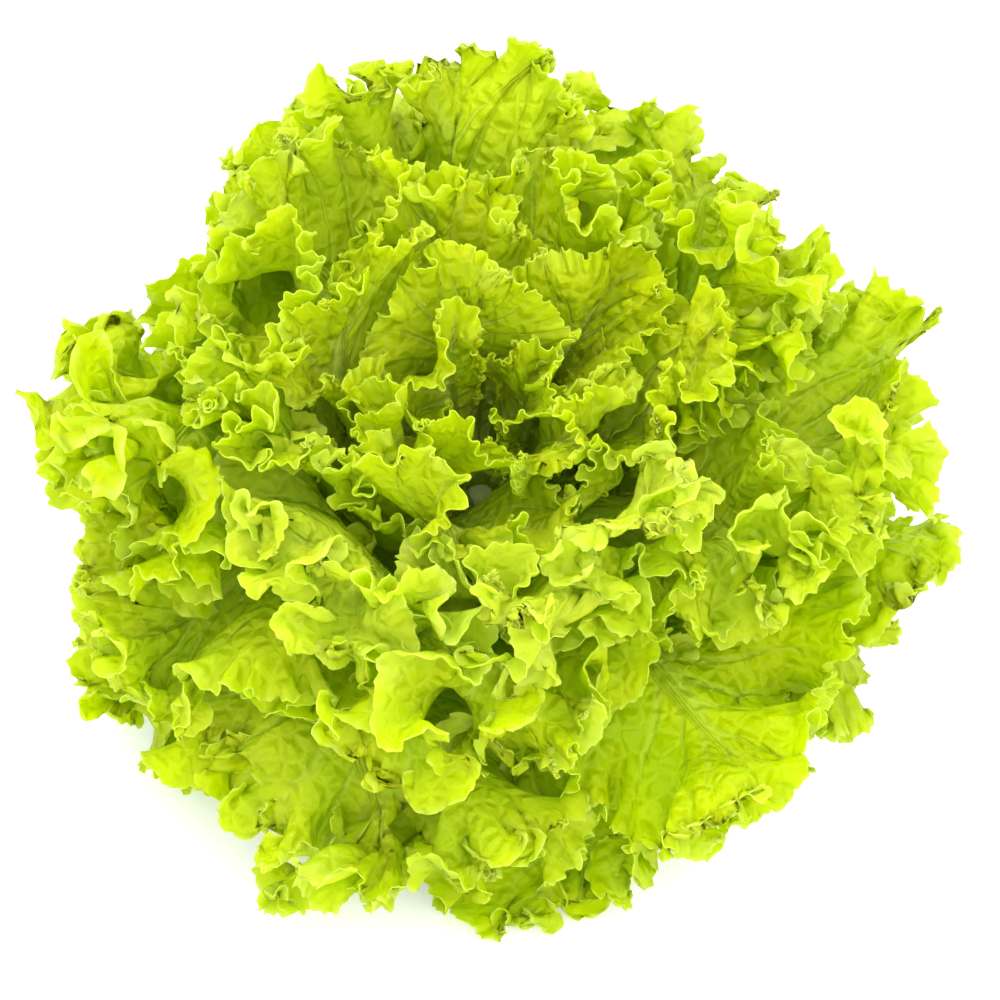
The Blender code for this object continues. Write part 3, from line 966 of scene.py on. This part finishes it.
    def confine(self, points: Array) -> None:
        """Keep each leaf in the room between its neighbours, and over the floor."""
        lattice, margins = self.lattice, self.margins
        high = np.einsum("...k,...k->...", points - lattice.plain, lattice.inward)
        over = np.clip(high, -margins.room_use * lattice.outer, margins.room_use * lattice.inner) - high
        points += (over * self.weight * margins.yielding)[..., None] * lattice.inward
        points[..., 2] = np.maximum(points[..., 2], margins.floor)

    def run(self, points: Array) -> Array:
        """Grow the sheets.

        Args:
            points: The sheets as they are.

        Returns:
            The sheets at rest again.
        """
        points = points.astype(np.float32)
        rib = points[:, :, 0].copy()
        before = points.copy()
        for step in range(self.frill.steps):
            share = min(1.0, (step + 1) / (self.frill.grown_by * self.frill.steps))
            if step % self.margins.lengths_every == 0 or step == self.frill.steps - 1:
                lengths = self.lengths(share)
                lengths = tuple(length.astype(np.float32) for length in lengths)
            drift = (points - before) * (self.margins.momentum * self.weight)[..., None]
            before = points.copy()
            points += drift
            self.stretch(points, lengths)
            self.stiffen(points)
            self.confine(points)
            points[:, :, 0] = rib
        return points


@dataclass(frozen=True)
class MarginGrowth:
    """Growth of all margins: broad curls first, then the small waves on them."""

    frills: tuple[Frill, ...] = (
        Frill(waves=28, seed_height=0.0035, seed_depth=0.018, extra=2.8, depth=0.0125, fade=1.5, patches=25,
              patch_least=0.5, columns=321, rows=(.36, .48, .59, .68, .76, .83, .885, .93, .97, 1.0),
              steps=360, grown_by=0.6, stiffness=0.5, stiff_rows=4, stiff_passes=1),
        Frill(waves=110, seed_height=0.0006, seed_depth=0.006, extra=1.5, depth=0.0045, fade=1.3, patches=60,
              patch_least=0.4, columns=961,
              rows=(.36, .46, .55, .63, .70, .76, .81, .85, .885, .915, .94, .96, .98, 1.0),
              steps=70, grown_by=0.5, stiffness=0.35, stiff_rows=7, stiff_passes=2))
    free_to: float = 0.014
    pinned_from: float = 0.034
    widening: float = 0.1
    row_stiffness: float = 0.3
    shear_stiffness: float = 0.3
    momentum: float = 0.9
    room_use: float = 1.4
    yielding: float = 0.35
    lengths_every: int = 5
    heart_share: float = 0.22
    floor: float = 0.0025
    inner_rows: tuple[float, ...] = (0.0, 0.09, 0.18, 0.27)

    def grown(self, leaves: list[Leaf], shifts: Array) -> tuple[Lattice, Array]:
        """Grow the margins of all leaves.

        Args:
            leaves: All leaves of the head.
            shifts: How far the points of the solids' sheets had moved.

        Returns:
            The finest lattice, midribs included, and its points after the growth.
        """
        moved: Optional[Array] = None
        known: Optional[Lattice] = None
        for order, frill in enumerate(self.frills, start=1):
            lattice = Lattice.of(leaves, frill.columns, np.array(frill.rows), shifts)
            points = lattice.folded
            if moved is not None:
                points = points + resampled(moved, known.margin, known.rows, lattice.margin, lattice.rows)
            points = frill.seeded(points, lattice, leaves, order)
            extra = sum(each.extra_length(lattice, number, self.heart_share)
                        for number, each in enumerate(self.frills[:order], start=1))
            points = Relaxation(lattice, extra, frill, self).run(points)
            moved, known = points - lattice.folded, lattice
            LOG.info("margins grown, generation %d of %d", order, len(self.frills))
        rows = np.array(self.inner_rows + self.frills[-1].rows)
        finest = Lattice.of(leaves, self.frills[-1].columns, rows, shifts)
        return finest, np.concatenate([finest.folded[:, :, :len(self.inner_rows)], points], 2)


@dataclass(frozen=True)
class MarginEdge:
    """Crimps, scallops and teeth along a grown margin, spaced by its real length."""

    crimp_length: float = 0.0066
    crimp_height: float = 0.0012
    crimp_depth: float = 0.0036
    crimp_patch: float = 0.012
    scallop_length: float = 0.0105
    scallop_depth: float = 0.0028
    scallop_reach: float = 0.005
    tooth_length: float = 0.0037
    tooth_depth: float = 0.0021
    tooth_reach: float = 0.0013

    def run(self, length: Array, pitch: float, seed: int) -> tuple[Array, Array]:
        """Uneven steps along the margin.

        Args:
            length: Distance along the margin.
            pitch: Mean length of a step.
            seed: Seed of the wander and of the heights.

        Returns:
            Steps run through, and a height for each place that changes from step to step.
        """
        steps = length / pitch + 0.45 * ripple(length / pitch * 0.9, seed) + 3.0
        heights = np.random.default_rng(seed).uniform(0.25, 1.0, int(steps.max()) + 4)
        return steps, heights[np.maximum(steps, 0).astype(int)]

    def dressed(self, points: Array, inset: Array, share: Array, leaf: Leaf) -> Array:
        """Lay the small forms over a grown sheet.

        Args:
            points: The sheet by column and row.
            inset: Distance to the margin on the flat leaf.
            share: Share of the way from the stalk's foot to the tip.
            leaf: The leaf.

        Returns:
            The dressed sheet.
        """
        steps = np.linalg.norm(np.diff(points[:, -1], axis=0), axis=-1)
        length = np.concatenate([[0.0], np.cumsum(steps)])
        blade = smooth((share - 0.2) / 0.2)
        ragged = leaf.raggedness * leaf.frill_share
        normal = unit(np.cross(np.gradient(points, axis=0), np.gradient(points, axis=1)))
        turns, _ = self.run(length, self.crimp_length, Seed.CRIMPS + leaf.index)
        strength = 0.9 + 0.8 * ripple(length / self.crimp_patch, Seed.CRIMP_STRENGTH + leaf.index)
        strength = np.clip(strength, 0.0, 1.8)
        crimp = self.crimp_height * ragged * strength * np.sin(math.tau * turns)
        crimp = crimp[:, None] * np.exp(-(inset / self.crimp_depth) ** 1.3) * blade
        scallops, height = self.run(length, self.scallop_length, Seed.SCALLOPS + leaf.index)
        reach = self.scallop_depth * (height * np.abs(np.sin(math.pi * scallops)) ** 0.8 - 0.3)
        reach = reach[:, None] * np.exp(-inset / self.scallop_reach)
        teeth, height = self.run(length, self.tooth_length, Seed.TEETH + leaf.index)
        point = self.tooth_depth * ragged * height * (1 - np.abs(2 * (teeth % 1.0) - 1)) ** 1.2
        reach = (reach + point[:, None] * np.exp(-inset / self.tooth_reach)) * blade
        outward = unit(evened(points[:, -1] - points[:, -3], 3 / len(points)))
        return points + normal * crimp[..., None] + outward[:, None] * reach[..., None]


class Tone(Enum):
    """Material slots of the leaves."""

    OUTER = "leaf_green"
    HEART = "heart_green"


@dataclass
class Socket:
    """Output of a shader node, with the arithmetic of its values."""

    graph: "Graph"
    output: bpy.types.NodeSocket

    def _math(self, operation: str, *values: Any) -> "Socket":
        """Math node on these values."""
        return self.graph.node("ShaderNodeMath", {"operation": operation}, dict(enumerate(values)))

    def __add__(self, other: Any) -> "Socket":
        """Sum."""
        return self._math("ADD", self, other)

    def __radd__(self, other: Any) -> "Socket":
        """Sum with a plain number on the left."""
        return self._math("ADD", other, self)

    def __sub__(self, other: Any) -> "Socket":
        """Difference."""
        return self._math("SUBTRACT", self, other)

    def __rsub__(self, other: Any) -> "Socket":
        """Difference from a plain number."""
        return self._math("SUBTRACT", other, self)

    def __mul__(self, other: Any) -> "Socket":
        """Product."""
        return self._math("MULTIPLY", self, other)

    def __truediv__(self, other: Any) -> "Socket":
        """Quotient."""
        return self._math("DIVIDE", self, other)

    def __pow__(self, other: Any) -> "Socket":
        """Power."""
        return self._math("POWER", self, other)

    def __abs__(self) -> "Socket":
        """Distance from zero."""
        return self._math("ABSOLUTE", self)

    def fraction(self) -> "Socket":
        """Part after the point."""
        return self._math("FRACT", self)

    def eased(self, start: float, end: float) -> "Socket":
        """Ease from 0 at start to 1 at end; start may be the larger."""
        low, high = min(start, end), max(start, end)
        made = self.graph.node("ShaderNodeMapRange", {"interpolation_type": "SMOOTHSTEP"},
                               {"Value": self, "From Min": low, "From Max": high})
        return made if start < end else 1 - made


class Graph:
    """Shader nodes of one material."""

    def __init__(self, name: str) -> None:
        """Start an empty material."""
        self.material = bpy.data.materials.new(name)
        self.material.use_nodes = True
        self.tree = self.material.node_tree
        self.tree.nodes.clear()

    def node(self, kind: str, settings: Optional[dict[str, Any]] = None,
             sockets: Optional[dict[Any, Any]] = None, output: Any = 0) -> Socket:
        """Add a node.

        Args:
            kind: The node's type.
            settings: Its properties, set first.
            sockets: Values or links of its inputs, by name or number.
            output: Which output is wanted.

        Returns:
            That output.
        """
        made = self.tree.nodes.new(kind)
        for name, value in (settings or {}).items():
            setattr(made, name, value)
        for key, value in (sockets or {}).items():
            if isinstance(value, Socket):
                self.tree.links.new(value.output, made.inputs[key])
            elif isinstance(value, tuple) and len(value) == 3 and made.inputs[key].type == "RGBA":
                made.inputs[key].default_value = (*value, 1.0)
            else:
                made.inputs[key].default_value = value
        return Socket(self, made.outputs[output])

    def mixed(self, share: Any, first: Any, second: Any) -> Socket:
        """Colour between two colours."""
        return self.node("ShaderNodeMix", {"data_type": "RGBA"}, {0: share, 6: first, 7: second}, 2)

    def noise(self, scale: float, detail: float) -> Socket:
        """Noise over the object."""
        place = self.node("ShaderNodeTexCoord", output="Object")
        return self.node("ShaderNodeTexNoise", {}, {"Vector": place, "Scale": scale, "Detail": detail}, "Fac")

    def attribute(self, name: str) -> tuple[Socket, Socket, Socket]:
        """The three parts of a vector that the mesh carries."""
        vector = self.node("ShaderNodeAttribute", {"attribute_name": name}, {}, "Vector")
        return tuple(self.node("ShaderNodeSeparateXYZ", {}, {0: vector}, axis) for axis in range(3))

    def finish(self, shader: Socket) -> bpy.types.Material:
        """Join the shader to the material's output."""
        end = self.tree.nodes.new("ShaderNodeOutputMaterial")
        self.tree.links.new(shader.output, end.inputs["Surface"])
        return self.material


@dataclass(frozen=True)
class LeafPlace:
    """Values at a point: millimetres to the margin, share of the length, tints and painted shade, veins and
    cells.
    """

    inset: Socket
    along: Socket
    paleness: Socket
    yellowing: Socket
    dullness: Socket
    side_vein: Socket
    midrib: Socket
    cells: Socket


@dataclass(frozen=True)
class LeafFinish:
    """Thin, softly glossy leaf: light comes through it, veins are paler, edges are paler partly by their own
    colour and partly by painted highlight, and the leaves behind the heart get painted shade.

    A band is a pair of distances from the margin in millimetres, a stretch is a pair of
    shares of the leaf's length, and a shade eases in from the first to the second.
    """

    name: str
    deep: Colour
    bright: Colour
    pale: Colour
    # Colour of the painted shade on the leaves behind the heart, darker and more olive as if less lit.
    dull: Colour
    young: Colour
    yellow: Colour
    vein: Colour
    # Pale margin colour: partly the leaf's own paler edge, partly painted highlight where the thin edge
    # catches light.
    edge: Colour
    through: Colour
    translucency: float = 0.58
    roughness: tuple[float, float] = (0.24, 0.38)
    refraction: float = 1.42
    shine: float = 0.44
    shine_tint: Colour = (1.0, 1.0, 0.45)
    patch_scale: float = 38.0
    wobble_scale: float = 60.0
    tip_scale: float = 55.0
    edge_scale: float = 300.0
    gloss_scale: float = 90.0
    relief_scales: tuple[float, float] = (110.0, 420.0)
    bright_band: tuple[float, float] = (16.0, 1.0)
    # Band of the painted shade on the back leaves, fading in away from the margin.
    dull_band: tuple[float, float] = (3.0, 16.0)
    yellow_band: tuple[float, float] = (30.0, 0.0)
    # Band of the pale curl tips, partly own colour and partly painted highlight.
    tip_band: tuple[float, float] = (7.0, 0.5)
    net_band: tuple[float, float] = (1.0, 8.0)
    pucker_band: tuple[float, float] = (0.0, 5.0)
    pale_stretch: tuple[float, float] = (0.55, 0.10)
    vein_stretch: tuple[float, float] = (0.10, 0.30)
    midrib_stretch: tuple[float, float] = (0.95, 0.70)
    side_veins: float = 26.0
    vein_width: float = 0.9
    midrib_width: tuple[float, float] = (4.6, 2.6)
    midrib_taper: float = 3.2
    pucker_scale: float = 165.0
    pucker_height: float = 0.0022
    # Width in millimetres of the pale margin line, partly own colour and partly painted highlight.
    edge_width: float = 0.7

    def placed(self, graph: Graph) -> LeafPlace:
        """Read what the mesh carries, and draw the veins and cells.

        Args:
            graph: Shader nodes of the material.

        Returns:
            The values at a point of the leaf.
        """
        margin, row, inset = graph.attribute("place")
        across, along, _ = graph.attribute("flat")
        wobble = graph.noise(self.wobble_scale, 1.0) * 0.35
        line = abs((margin * self.side_veins / 2 + wobble).fraction() - 0.5) * row * 16.0
        side_vein = line.eased(self.vein_width, 0.15) * row.eased(0.97, 0.45)
        side_vein = side_vein * along.eased(*self.vein_stretch)
        midrib = (abs(across) + along * self.midrib_taper).eased(*self.midrib_width)
        midrib = midrib * along.eased(*self.midrib_stretch)
        cells = graph.node("ShaderNodeTexVoronoi", {"feature": "DISTANCE_TO_EDGE"},
                           {"Vector": graph.node("ShaderNodeTexCoord", output="Object"),
                            "Scale": self.pucker_scale, "Randomness": 0.9}, "Distance")
        return LeafPlace(inset, along, *graph.attribute("own"), side_vein, midrib, cells)

    def ground(self, graph: Graph, at: LeafPlace) -> Socket:
        """Colour of the blade between its veins, with painted shade on the leaves behind the heart."""
        colour = graph.mixed(graph.noise(self.patch_scale, 3.0).eased(0.32, 0.68), self.deep, self.bright)
        colour = graph.mixed(at.inset.eased(*self.bright_band) * 0.45, colour, self.bright)
        # Painted shade: the leaves behind the heart are darkened toward olive, as if less lit.
        colour = graph.mixed(at.dullness * at.inset.eased(*self.dull_band), colour, self.dull)
        colour = graph.mixed(at.paleness, colour, self.young)
        colour = graph.mixed(at.yellowing * at.inset.eased(*self.yellow_band), colour, self.yellow)
        return graph.mixed(at.along.eased(*self.pale_stretch) * 0.75, colour, self.pale)

    def veined(self, graph: Graph, at: LeafPlace, colour: Socket) -> Socket:
        """The colour with the midrib, the side veins and the net."""
        veins = graph.node("ShaderNodeMath", {"operation": "MAXIMUM"},
                           {0: at.side_vein * 0.55, 1: at.midrib * 0.8})
        colour = graph.mixed(veins, colour, self.vein)
        net = at.cells.eased(0.14, 0.0) * 0.16
        return graph.mixed(net * at.inset.eased(*self.net_band), colour, self.vein)

    def edged(self, graph: Graph, at: LeafPlace, colour: Socket) -> Socket:
        """The colour with pale tips of the curls and a thin, broken, pale edge, each partly the leaf's own
        paler margin and partly painted highlight where the thin curled edge catches light.
        """
        # Pale curl tips: partly the leaf's own paler tips, partly painted highlight on the curls.
        tips = graph.noise(self.tip_scale, 2.0).eased(0.48, 0.66) * at.inset.eased(*self.tip_band)
        colour = graph.mixed(tips * (0.25 + at.paleness * 0.6), colour, self.edge)
        broken = 0.15 + graph.noise(self.edge_scale, 1.0).eased(0.35, 0.65) * 0.6
        # Thin pale edge line: partly the own yellowish margin, partly painted highlight of the edge catching
        # light.
        return graph.mixed(at.inset.eased(self.edge_width, 0.1) * broken, colour, self.edge)

    def relief(self, graph: Graph, at: LeafPlace) -> Socket:
        """Height of the puckers between the sunken veins."""
        coarse, fine = self.relief_scales
        puckers = at.cells.eased(0.0, 0.45) * at.inset.eased(*self.pucker_band) * 0.7
        uneven = puckers + graph.noise(coarse, 3.0) * 0.6 + graph.noise(fine, 2.0) * 0.22
        return uneven - at.side_vein * 0.35 - at.midrib * 0.4

    def material(self) -> bpy.types.Material:
        """Build the material.

        Returns:
            The material, which reads the mesh's place, flat and own attributes.
        """
        graph = Graph(self.name)
        at = self.placed(graph)
        colour = self.edged(graph, at, self.veined(graph, at, self.ground(graph, at)))
        smoothest, roughest = self.roughness
        rough = smoothest + graph.noise(self.gloss_scale, 3.0) * (roughest - smoothest)
        bump = graph.node("ShaderNodeBump", {}, {"Strength": 0.9, "Distance": self.pucker_height,
                                                 "Height": self.relief(graph, at)})
        surface = graph.node("ShaderNodeBsdfPrincipled", {}, {
            "Base Color": colour, "Roughness": rough, "Normal": bump, "IOR": self.refraction,
            "Specular IOR Level": self.shine, "Specular Tint": self.shine_tint})
        light_through = graph.node("ShaderNodeBsdfTranslucent", {}, {"Color": self.through})
        return graph.finish(graph.node("ShaderNodeMixShader", {}, {
            0: self.translucency, 1: surface, 2: light_through}))


@dataclass(frozen=True)
class StemFinish:
    """Pale core with a slightly browned cut face."""

    name: str
    flesh: Colour
    rind: Colour
    browned: Colour

    def material(self) -> bpy.types.Material:
        """Build the material."""
        graph = Graph(self.name)
        place = graph.node("ShaderNodeTexCoord", output="Object")
        x, y, z = (graph.node("ShaderNodeSeparateXYZ", {}, {0: place}, axis) for axis in range(3))
        radius = (x * x + y * y) ** 0.5
        rings = graph.noise(240.0, 4.0)
        colour = graph.mixed(z.eased(0.0005, 0.012), self.flesh, self.rind)
        cut = z.eased(0.0008, 0.0001)
        colour = graph.mixed(cut * (radius.eased(0.006, 0.016) * 0.55 + rings * 0.35), colour, self.browned)
        bump = graph.node("ShaderNodeBump", {}, {"Strength": 0.5, "Distance": 0.0006, "Height": rings})
        rough = 0.42 + rings * 0.25
        return graph.finish(graph.node("ShaderNodeBsdfPrincipled", {}, {
            "Base Color": colour, "Roughness": rough, "Normal": bump}))


@dataclass(frozen=True)
class FloorFinish:
    """Plain pale studio floor."""

    name: str = "studio_floor"
    colour: Colour = (0.92, 0.935, 0.96)
    glow: float = 0.25

    def material(self) -> bpy.types.Material:
        """Build the material."""
        graph = Graph(self.name)
        return graph.finish(graph.node("ShaderNodeBsdfPrincipled", {}, {
            "Base Color": self.colour, "Roughness": 0.9, "Specular IOR Level": 0.1,
            "Emission Color": self.colour, "Emission Strength": self.glow}))


@dataclass
class Foliage:
    """All leaves of the head, each a thin blade of its own."""

    head: HeadForm = field(default_factory=HeadForm)
    form: LeafForm = field(default_factory=LeafForm)
    margins: MarginGrowth = field(default_factory=MarginGrowth)
    edge: MarginEdge = field(default_factory=MarginEdge)
    rows: tuple[float, ...] = (0.0, 0.18, 0.36, 0.55, 0.70, 0.81, 0.885, 0.94, 0.98, 1.0)
    doubled: tuple[int, ...] = (2, 4, 5, 6, 9)
    columns: tuple[tuple[int, int], ...] = ((14, 92), (24, 72), (34, 42))
    blade: float = 0.0006
    thinned_edge: float = 0.55
    thinned_over: float = 0.009
    heart_from: int = 24
    pale_leaves: float = 0.20
    least_yellow: float = 0.1
    yellow_margins: float = 0.45
    front_paleness: float = 0.7
    # Strength of the painted shade on the leaves behind the heart.
    back_dullness: float = 0.42

    def build(self, finishes: dict[Tone, bpy.types.Material]) -> list[bpy.types.Object]:
        """Build every leaf and let it stand for its solid.

        Args:
            finishes: Material of each tone.

        Returns:
            The leaves.
        """
        leaves = [Leaf(index, self.head, self.form) for index in range(self.head.leaf_count)]
        solid_net = SOLID_NET.built()
        shifts = eased_apart([SolidBlade.of(leaf, leaves, solid_net) for leaf in leaves])
        lattice, points = self.margins.grown(leaves, shifts)
        rows = [int(np.argmin(np.abs(lattice.rows - row))) for row in self.rows]
        made = []
        net = None
        for leaf in leaves:
            columns = next(count for upto, count in self.columns if leaf.index < upto)
            if net is None or columns != net.columns:
                net = NetPlan(self.rows, self.doubled, columns)
                built = net.built()
            carried = {name: recounted(values[:, rows], net.finest + 1)
                       for name, values in self.carried(leaf, lattice).items()}
            sheet = net.fitted(points[leaf.index][:, rows])
            inset = carried["place"][..., 2] / PER_METRE
            sheet = self.edge.dressed(sheet, inset, carried["flat"][..., 2], leaf)
            tone = Tone.HEART if leaf.index >= self.heart_from else Tone.OUTER
            piece = self.blade_of(leaf, built, sheet, carried, finishes[tone])
            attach(piece, "root")
            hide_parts(leaf.node)
            made.append(piece)
            LOG.info("%s: %d points", piece.name, len(piece.data.vertices))
        return made

    def carried(self, leaf: Leaf, lattice: Lattice) -> dict[str, Array]:
        """What the mesh carries for its material and its thickness.

        Args:
            leaf: The leaf.
            lattice: The finest lattice.

        Returns:
            Values by column and row: place round the leaf, flat place, own tint with painted shade, and
                thickness.
        """
        index = leaf.index
        inset = lattice.inset[index]
        place = np.stack([np.broadcast_to(lattice.margin[:, None], inset.shape),
                          np.broadcast_to(lattice.rows, inset.shape), inset * PER_METRE], -1)
        flat = np.stack([lattice.across[index] * PER_METRE, lattice.along[index] / leaf.length,
                         lattice.share[index]], -1)
        draw = np.random.default_rng(Seed.TINT + index)
        pale = draw.uniform(0.0, self.pale_leaves) + self.front_paleness * leaf.faces_front()
        yellow = draw.uniform(self.least_yellow, self.yellow_margins)
        # Painted shade on the leaves behind the heart, carried in the third part of own.
        dull = self.back_dullness * leaf.faces_back()
        own = np.stack([np.full(inset.shape, tint) for tint in (pale, yellow, dull)], -1)
        wall = lattice.thickness[index] - self.form.solid_blade + self.blade
        wall = wall * np.clip(self.thinned_edge + inset / self.thinned_over, self.thinned_edge, 1.0)
        return {"place": place, "flat": flat, "own": own, "wall": wall[..., None]}

    def blade_of(self, leaf: Leaf, net: Net, points: Array, carried: dict[str, Array],
                 finish: bpy.types.Material) -> bpy.types.Object:
        """One leaf's piece.

        Args:
            leaf: The leaf.
            net: The blades' net.
            points: The leaf's sheet.
            carried: What its mesh carries.
            finish: Its material.

        Returns:
            The piece, with its thickness.
        """
        sheet = net.mesh.copy()
        sheet.verts.ensure_lookup_table()
        at = (net.column, net.row)
        weights = sheet.verts.layers.deform.verify()
        place = sheet.verts.layers.float_vector.new("place")
        flat = sheet.verts.layers.float_vector.new("flat")
        own = sheet.verts.layers.float_vector.new("own")
        values = [carried[name][at] for name in ("wall", "place", "flat", "own")]
        for vert, point, wall, where, lying, tint in zip(sheet.verts, points[at], *values):
            vert.co = point
            vert[weights][0] = float(wall[0]) / self.form.solid_stalk
            vert[place] = where
            vert[flat] = lying
            vert[own] = tint
        for face in sheet.faces:
            face.smooth = True
        for edge in sheet.edges:
            edge.smooth = not edge.is_boundary
        mesh = bpy.data.meshes.new(f"{leaf.node}_blade")
        sheet.to_mesh(mesh)
        sheet.free()
        mesh.materials.append(finish)
        piece = bpy.data.objects.new(f"{leaf.node}_blade", mesh)
        bpy.context.scene.collection.objects.link(piece)
        piece.vertex_groups.new(name="thickness")
        solid = piece.modifiers.new("thickness", "SOLIDIFY")
        solid.thickness = self.form.solid_stalk
        solid.offset = 0.0
        solid.vertex_group = "thickness"
        solid.thickness_vertex_group = 0.0
        return piece


@dataclass
class Stem:
    """Cut stem under the leaves, with a flat cut face."""

    cut_radius: float = 0.0165
    cut_edge: float = 0.0010
    shoulder: tuple[float, float] = (0.0173, 0.012)
    crown: tuple[float, float] = (0.0046, 0.054)
    top: float = 0.056
    top_fall: float = 0.0005
    lip: tuple[float, float] = (0.0003, 0.005)
    sides: int = 96
    ribs: tuple[int, int] = (5, 13)
    rib_turns: tuple[float, float] = (90, -160)
    unevenness: float = 0.0005
    even_foot: float = 0.004

    def build(self, finish: bpy.types.Material) -> bpy.types.Object:
        """Turn the stem and let it stand for its solid.

        Args:
            finish: Its material.

        Returns:
            The stem.
        """
        profile = [(0.0, self.top), (0.7 * self.crown[0], self.top - self.top_fall), self.crown]
        for share in np.linspace(0, 1, 9)[1:]:
            profile.append((between((self.crown[0], self.shoulder[0]), share),
                            between((self.crown[1], self.shoulder[1]), share)))
        profile += [(self.cut_radius + self.lip[0], self.lip[1]), (self.cut_radius, self.cut_edge)]
        for turn in np.radians((30, 60, 90)):
            profile.append((self.cut_radius - self.cut_edge * (1 - math.cos(turn)),
                            self.cut_edge * (1 - math.sin(turn))))
        profile += [(self.cut_radius * share, 0.0) for share in (0.7, 0.4, 0.0)]
        turned = bmesh.new()
        corners = [turned.verts.new((radius, 0.0, height)) for radius, height in profile]
        edges = [turned.edges.new(pair) for pair in zip(corners, corners[1:])]
        bmesh.ops.spin(turned, geom=corners + edges, axis=(0, 0, 1), cent=(0, 0, 0), angle=math.tau,
                       steps=self.sides, use_merge=True)
        bmesh.ops.remove_doubles(turned, verts=turned.verts, dist=1e-5)
        for vert in turned.verts:
            around = math.atan2(vert.co.y, vert.co.x)
            broad, narrow = (math.sin(count * around + turn * vert.co.z)
                             for count, turn in zip(self.ribs, self.rib_turns))
            lift = broad + 0.5 * narrow
            low = min(1.0, vert.co.z / self.even_foot + 0.3)
            wide = 1 - self.unevenness * (1.5 + lift) / self.cut_radius * low
            vert.co.x *= wide
            vert.co.y *= wide
        bmesh.ops.recalc_face_normals(turned, faces=turned.faces)
        for face in turned.faces:
            face.smooth = abs(face.normal.z) < 0.9
        mesh = bpy.data.meshes.new("cut_stem")
        turned.to_mesh(mesh)
        turned.free()
        mesh.materials.append(finish)
        piece = bpy.data.objects.new("cut_stem", mesh)
        bpy.context.scene.collection.objects.link(piece)
        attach(piece, "root")
        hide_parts("stem")
        LOG.info("%s: %d points", piece.name, len(mesh.vertices))
        return piece


@dataclass(frozen=True)
class Softbox:
    """A soft area light aimed at the head."""

    name: str
    place: tuple[float, float, float]
    size: float
    power: float

    def build(self, target: Vector) -> bpy.types.Object:
        """Hang the light and aim it."""
        light = bpy.data.lights.new(self.name, "AREA")
        light.shape = "DISK"
        light.size = self.size
        light.energy = self.power
        lamp = bpy.data.objects.new(self.name, light)
        bpy.context.scene.collection.objects.link(lamp)
        lamp.location = self.place
        lamp.rotation_euler = (target - Vector(self.place)).to_track_quat("-Z", "Y").to_euler()
        return lamp


@dataclass
class Studio:
    """Floor, soft light and camera."""

    target: tuple[float, float, float] = (0.0062, 0.0, 0.0515)
    elevation: float = math.radians(50)
    distance: float = 1.45
    lens: float = 164.5
    surround: float = 1.65
    floor_size: float = 8.0
    lights: tuple[Softbox, ...] = (Softbox("key_light", (-0.35, 0.35, 1.35), 0.26, 9.0),
                                   Softbox("fill_light", (0.5, -0.9, 0.9), 0.9, 5.0))

    def build(self) -> None:
        """Build the floor, the lights, the surround and the camera."""
        target = Vector(self.target)
        for light in self.lights:
            light.build(target)
        world = bpy.data.worlds.new("studio_surround")
        world.use_nodes = True
        back = world.node_tree.nodes["Background"]
        back.inputs["Color"].default_value = (1.0, 1.0, 1.0, 1.0)
        back.inputs["Strength"].default_value = self.surround
        bpy.context.scene.world = world
        plain = bmesh.new()
        bmesh.ops.create_grid(plain, x_segments=1, y_segments=1, size=self.floor_size / 2)
        mesh = bpy.data.meshes.new("studio_floor")
        plain.to_mesh(mesh)
        plain.free()
        mesh.materials.append(FloorFinish().material())
        floor = bpy.data.objects.new("studio_floor", mesh)
        bpy.context.scene.collection.objects.link(floor)
        lens = bpy.data.cameras.new("camera")
        lens.lens = self.lens
        camera = bpy.data.objects.new("camera", lens)
        bpy.context.scene.collection.objects.link(camera)
        back_way = Vector((0.0, -math.cos(self.elevation), math.sin(self.elevation)))
        camera.location = target + back_way * self.distance
        camera.rotation_euler = (-back_way).to_track_quat("-Z", "Y").to_euler()
        bpy.context.scene.camera = camera
        bpy.context.scene.view_settings.view_transform = "Standard"


def main() -> None:
    """Build the leaves, the stem and the studio."""
    logging.basicConfig(level=logging.INFO, format="%(message)s")
    # The dull colour of each finish is painted shade for the leaves behind the heart.
    outer = LeafFinish(Tone.OUTER.value, deep=(0.44, 0.63, 0.0), bright=(0.70, 0.79, 0.001),
                       pale=(0.74, 0.82, 0.16), dull=(0.38, 0.46, 0.002), young=(0.84, 0.89, 0.08),
                       yellow=(0.73, 0.79, 0.002), vein=(0.66, 0.80, 0.08), edge=(0.84, 0.91, 0.20),
                       through=(0.71, 0.84, 0.0))
    # In both finishes the edge colour is partly the leaf's own pale margin and partly painted highlight.
    heart = LeafFinish(Tone.HEART.value, deep=(0.53, 0.66, 0.002), bright=(0.75, 0.81, 0.006),
                       pale=(0.80, 0.86, 0.26), dull=(0.44, 0.52, 0.004), young=(0.82, 0.88, 0.05),
                       yellow=(0.77, 0.83, 0.006), vein=(0.76, 0.84, 0.16), edge=(0.84, 0.90, 0.20),
                       through=(0.75, 0.87, 0.004), edge_width=0.4)
    Foliage().build({Tone.OUTER: outer.material(), Tone.HEART: heart.material()})
    Stem().build(StemFinish("stem_cream", flesh=(0.72, 0.70, 0.42), rind=(0.62, 0.66, 0.34),
                            browned=(0.42, 0.24, 0.10)).material())
    Studio().build()


if __name__ == "__main__":
    main()
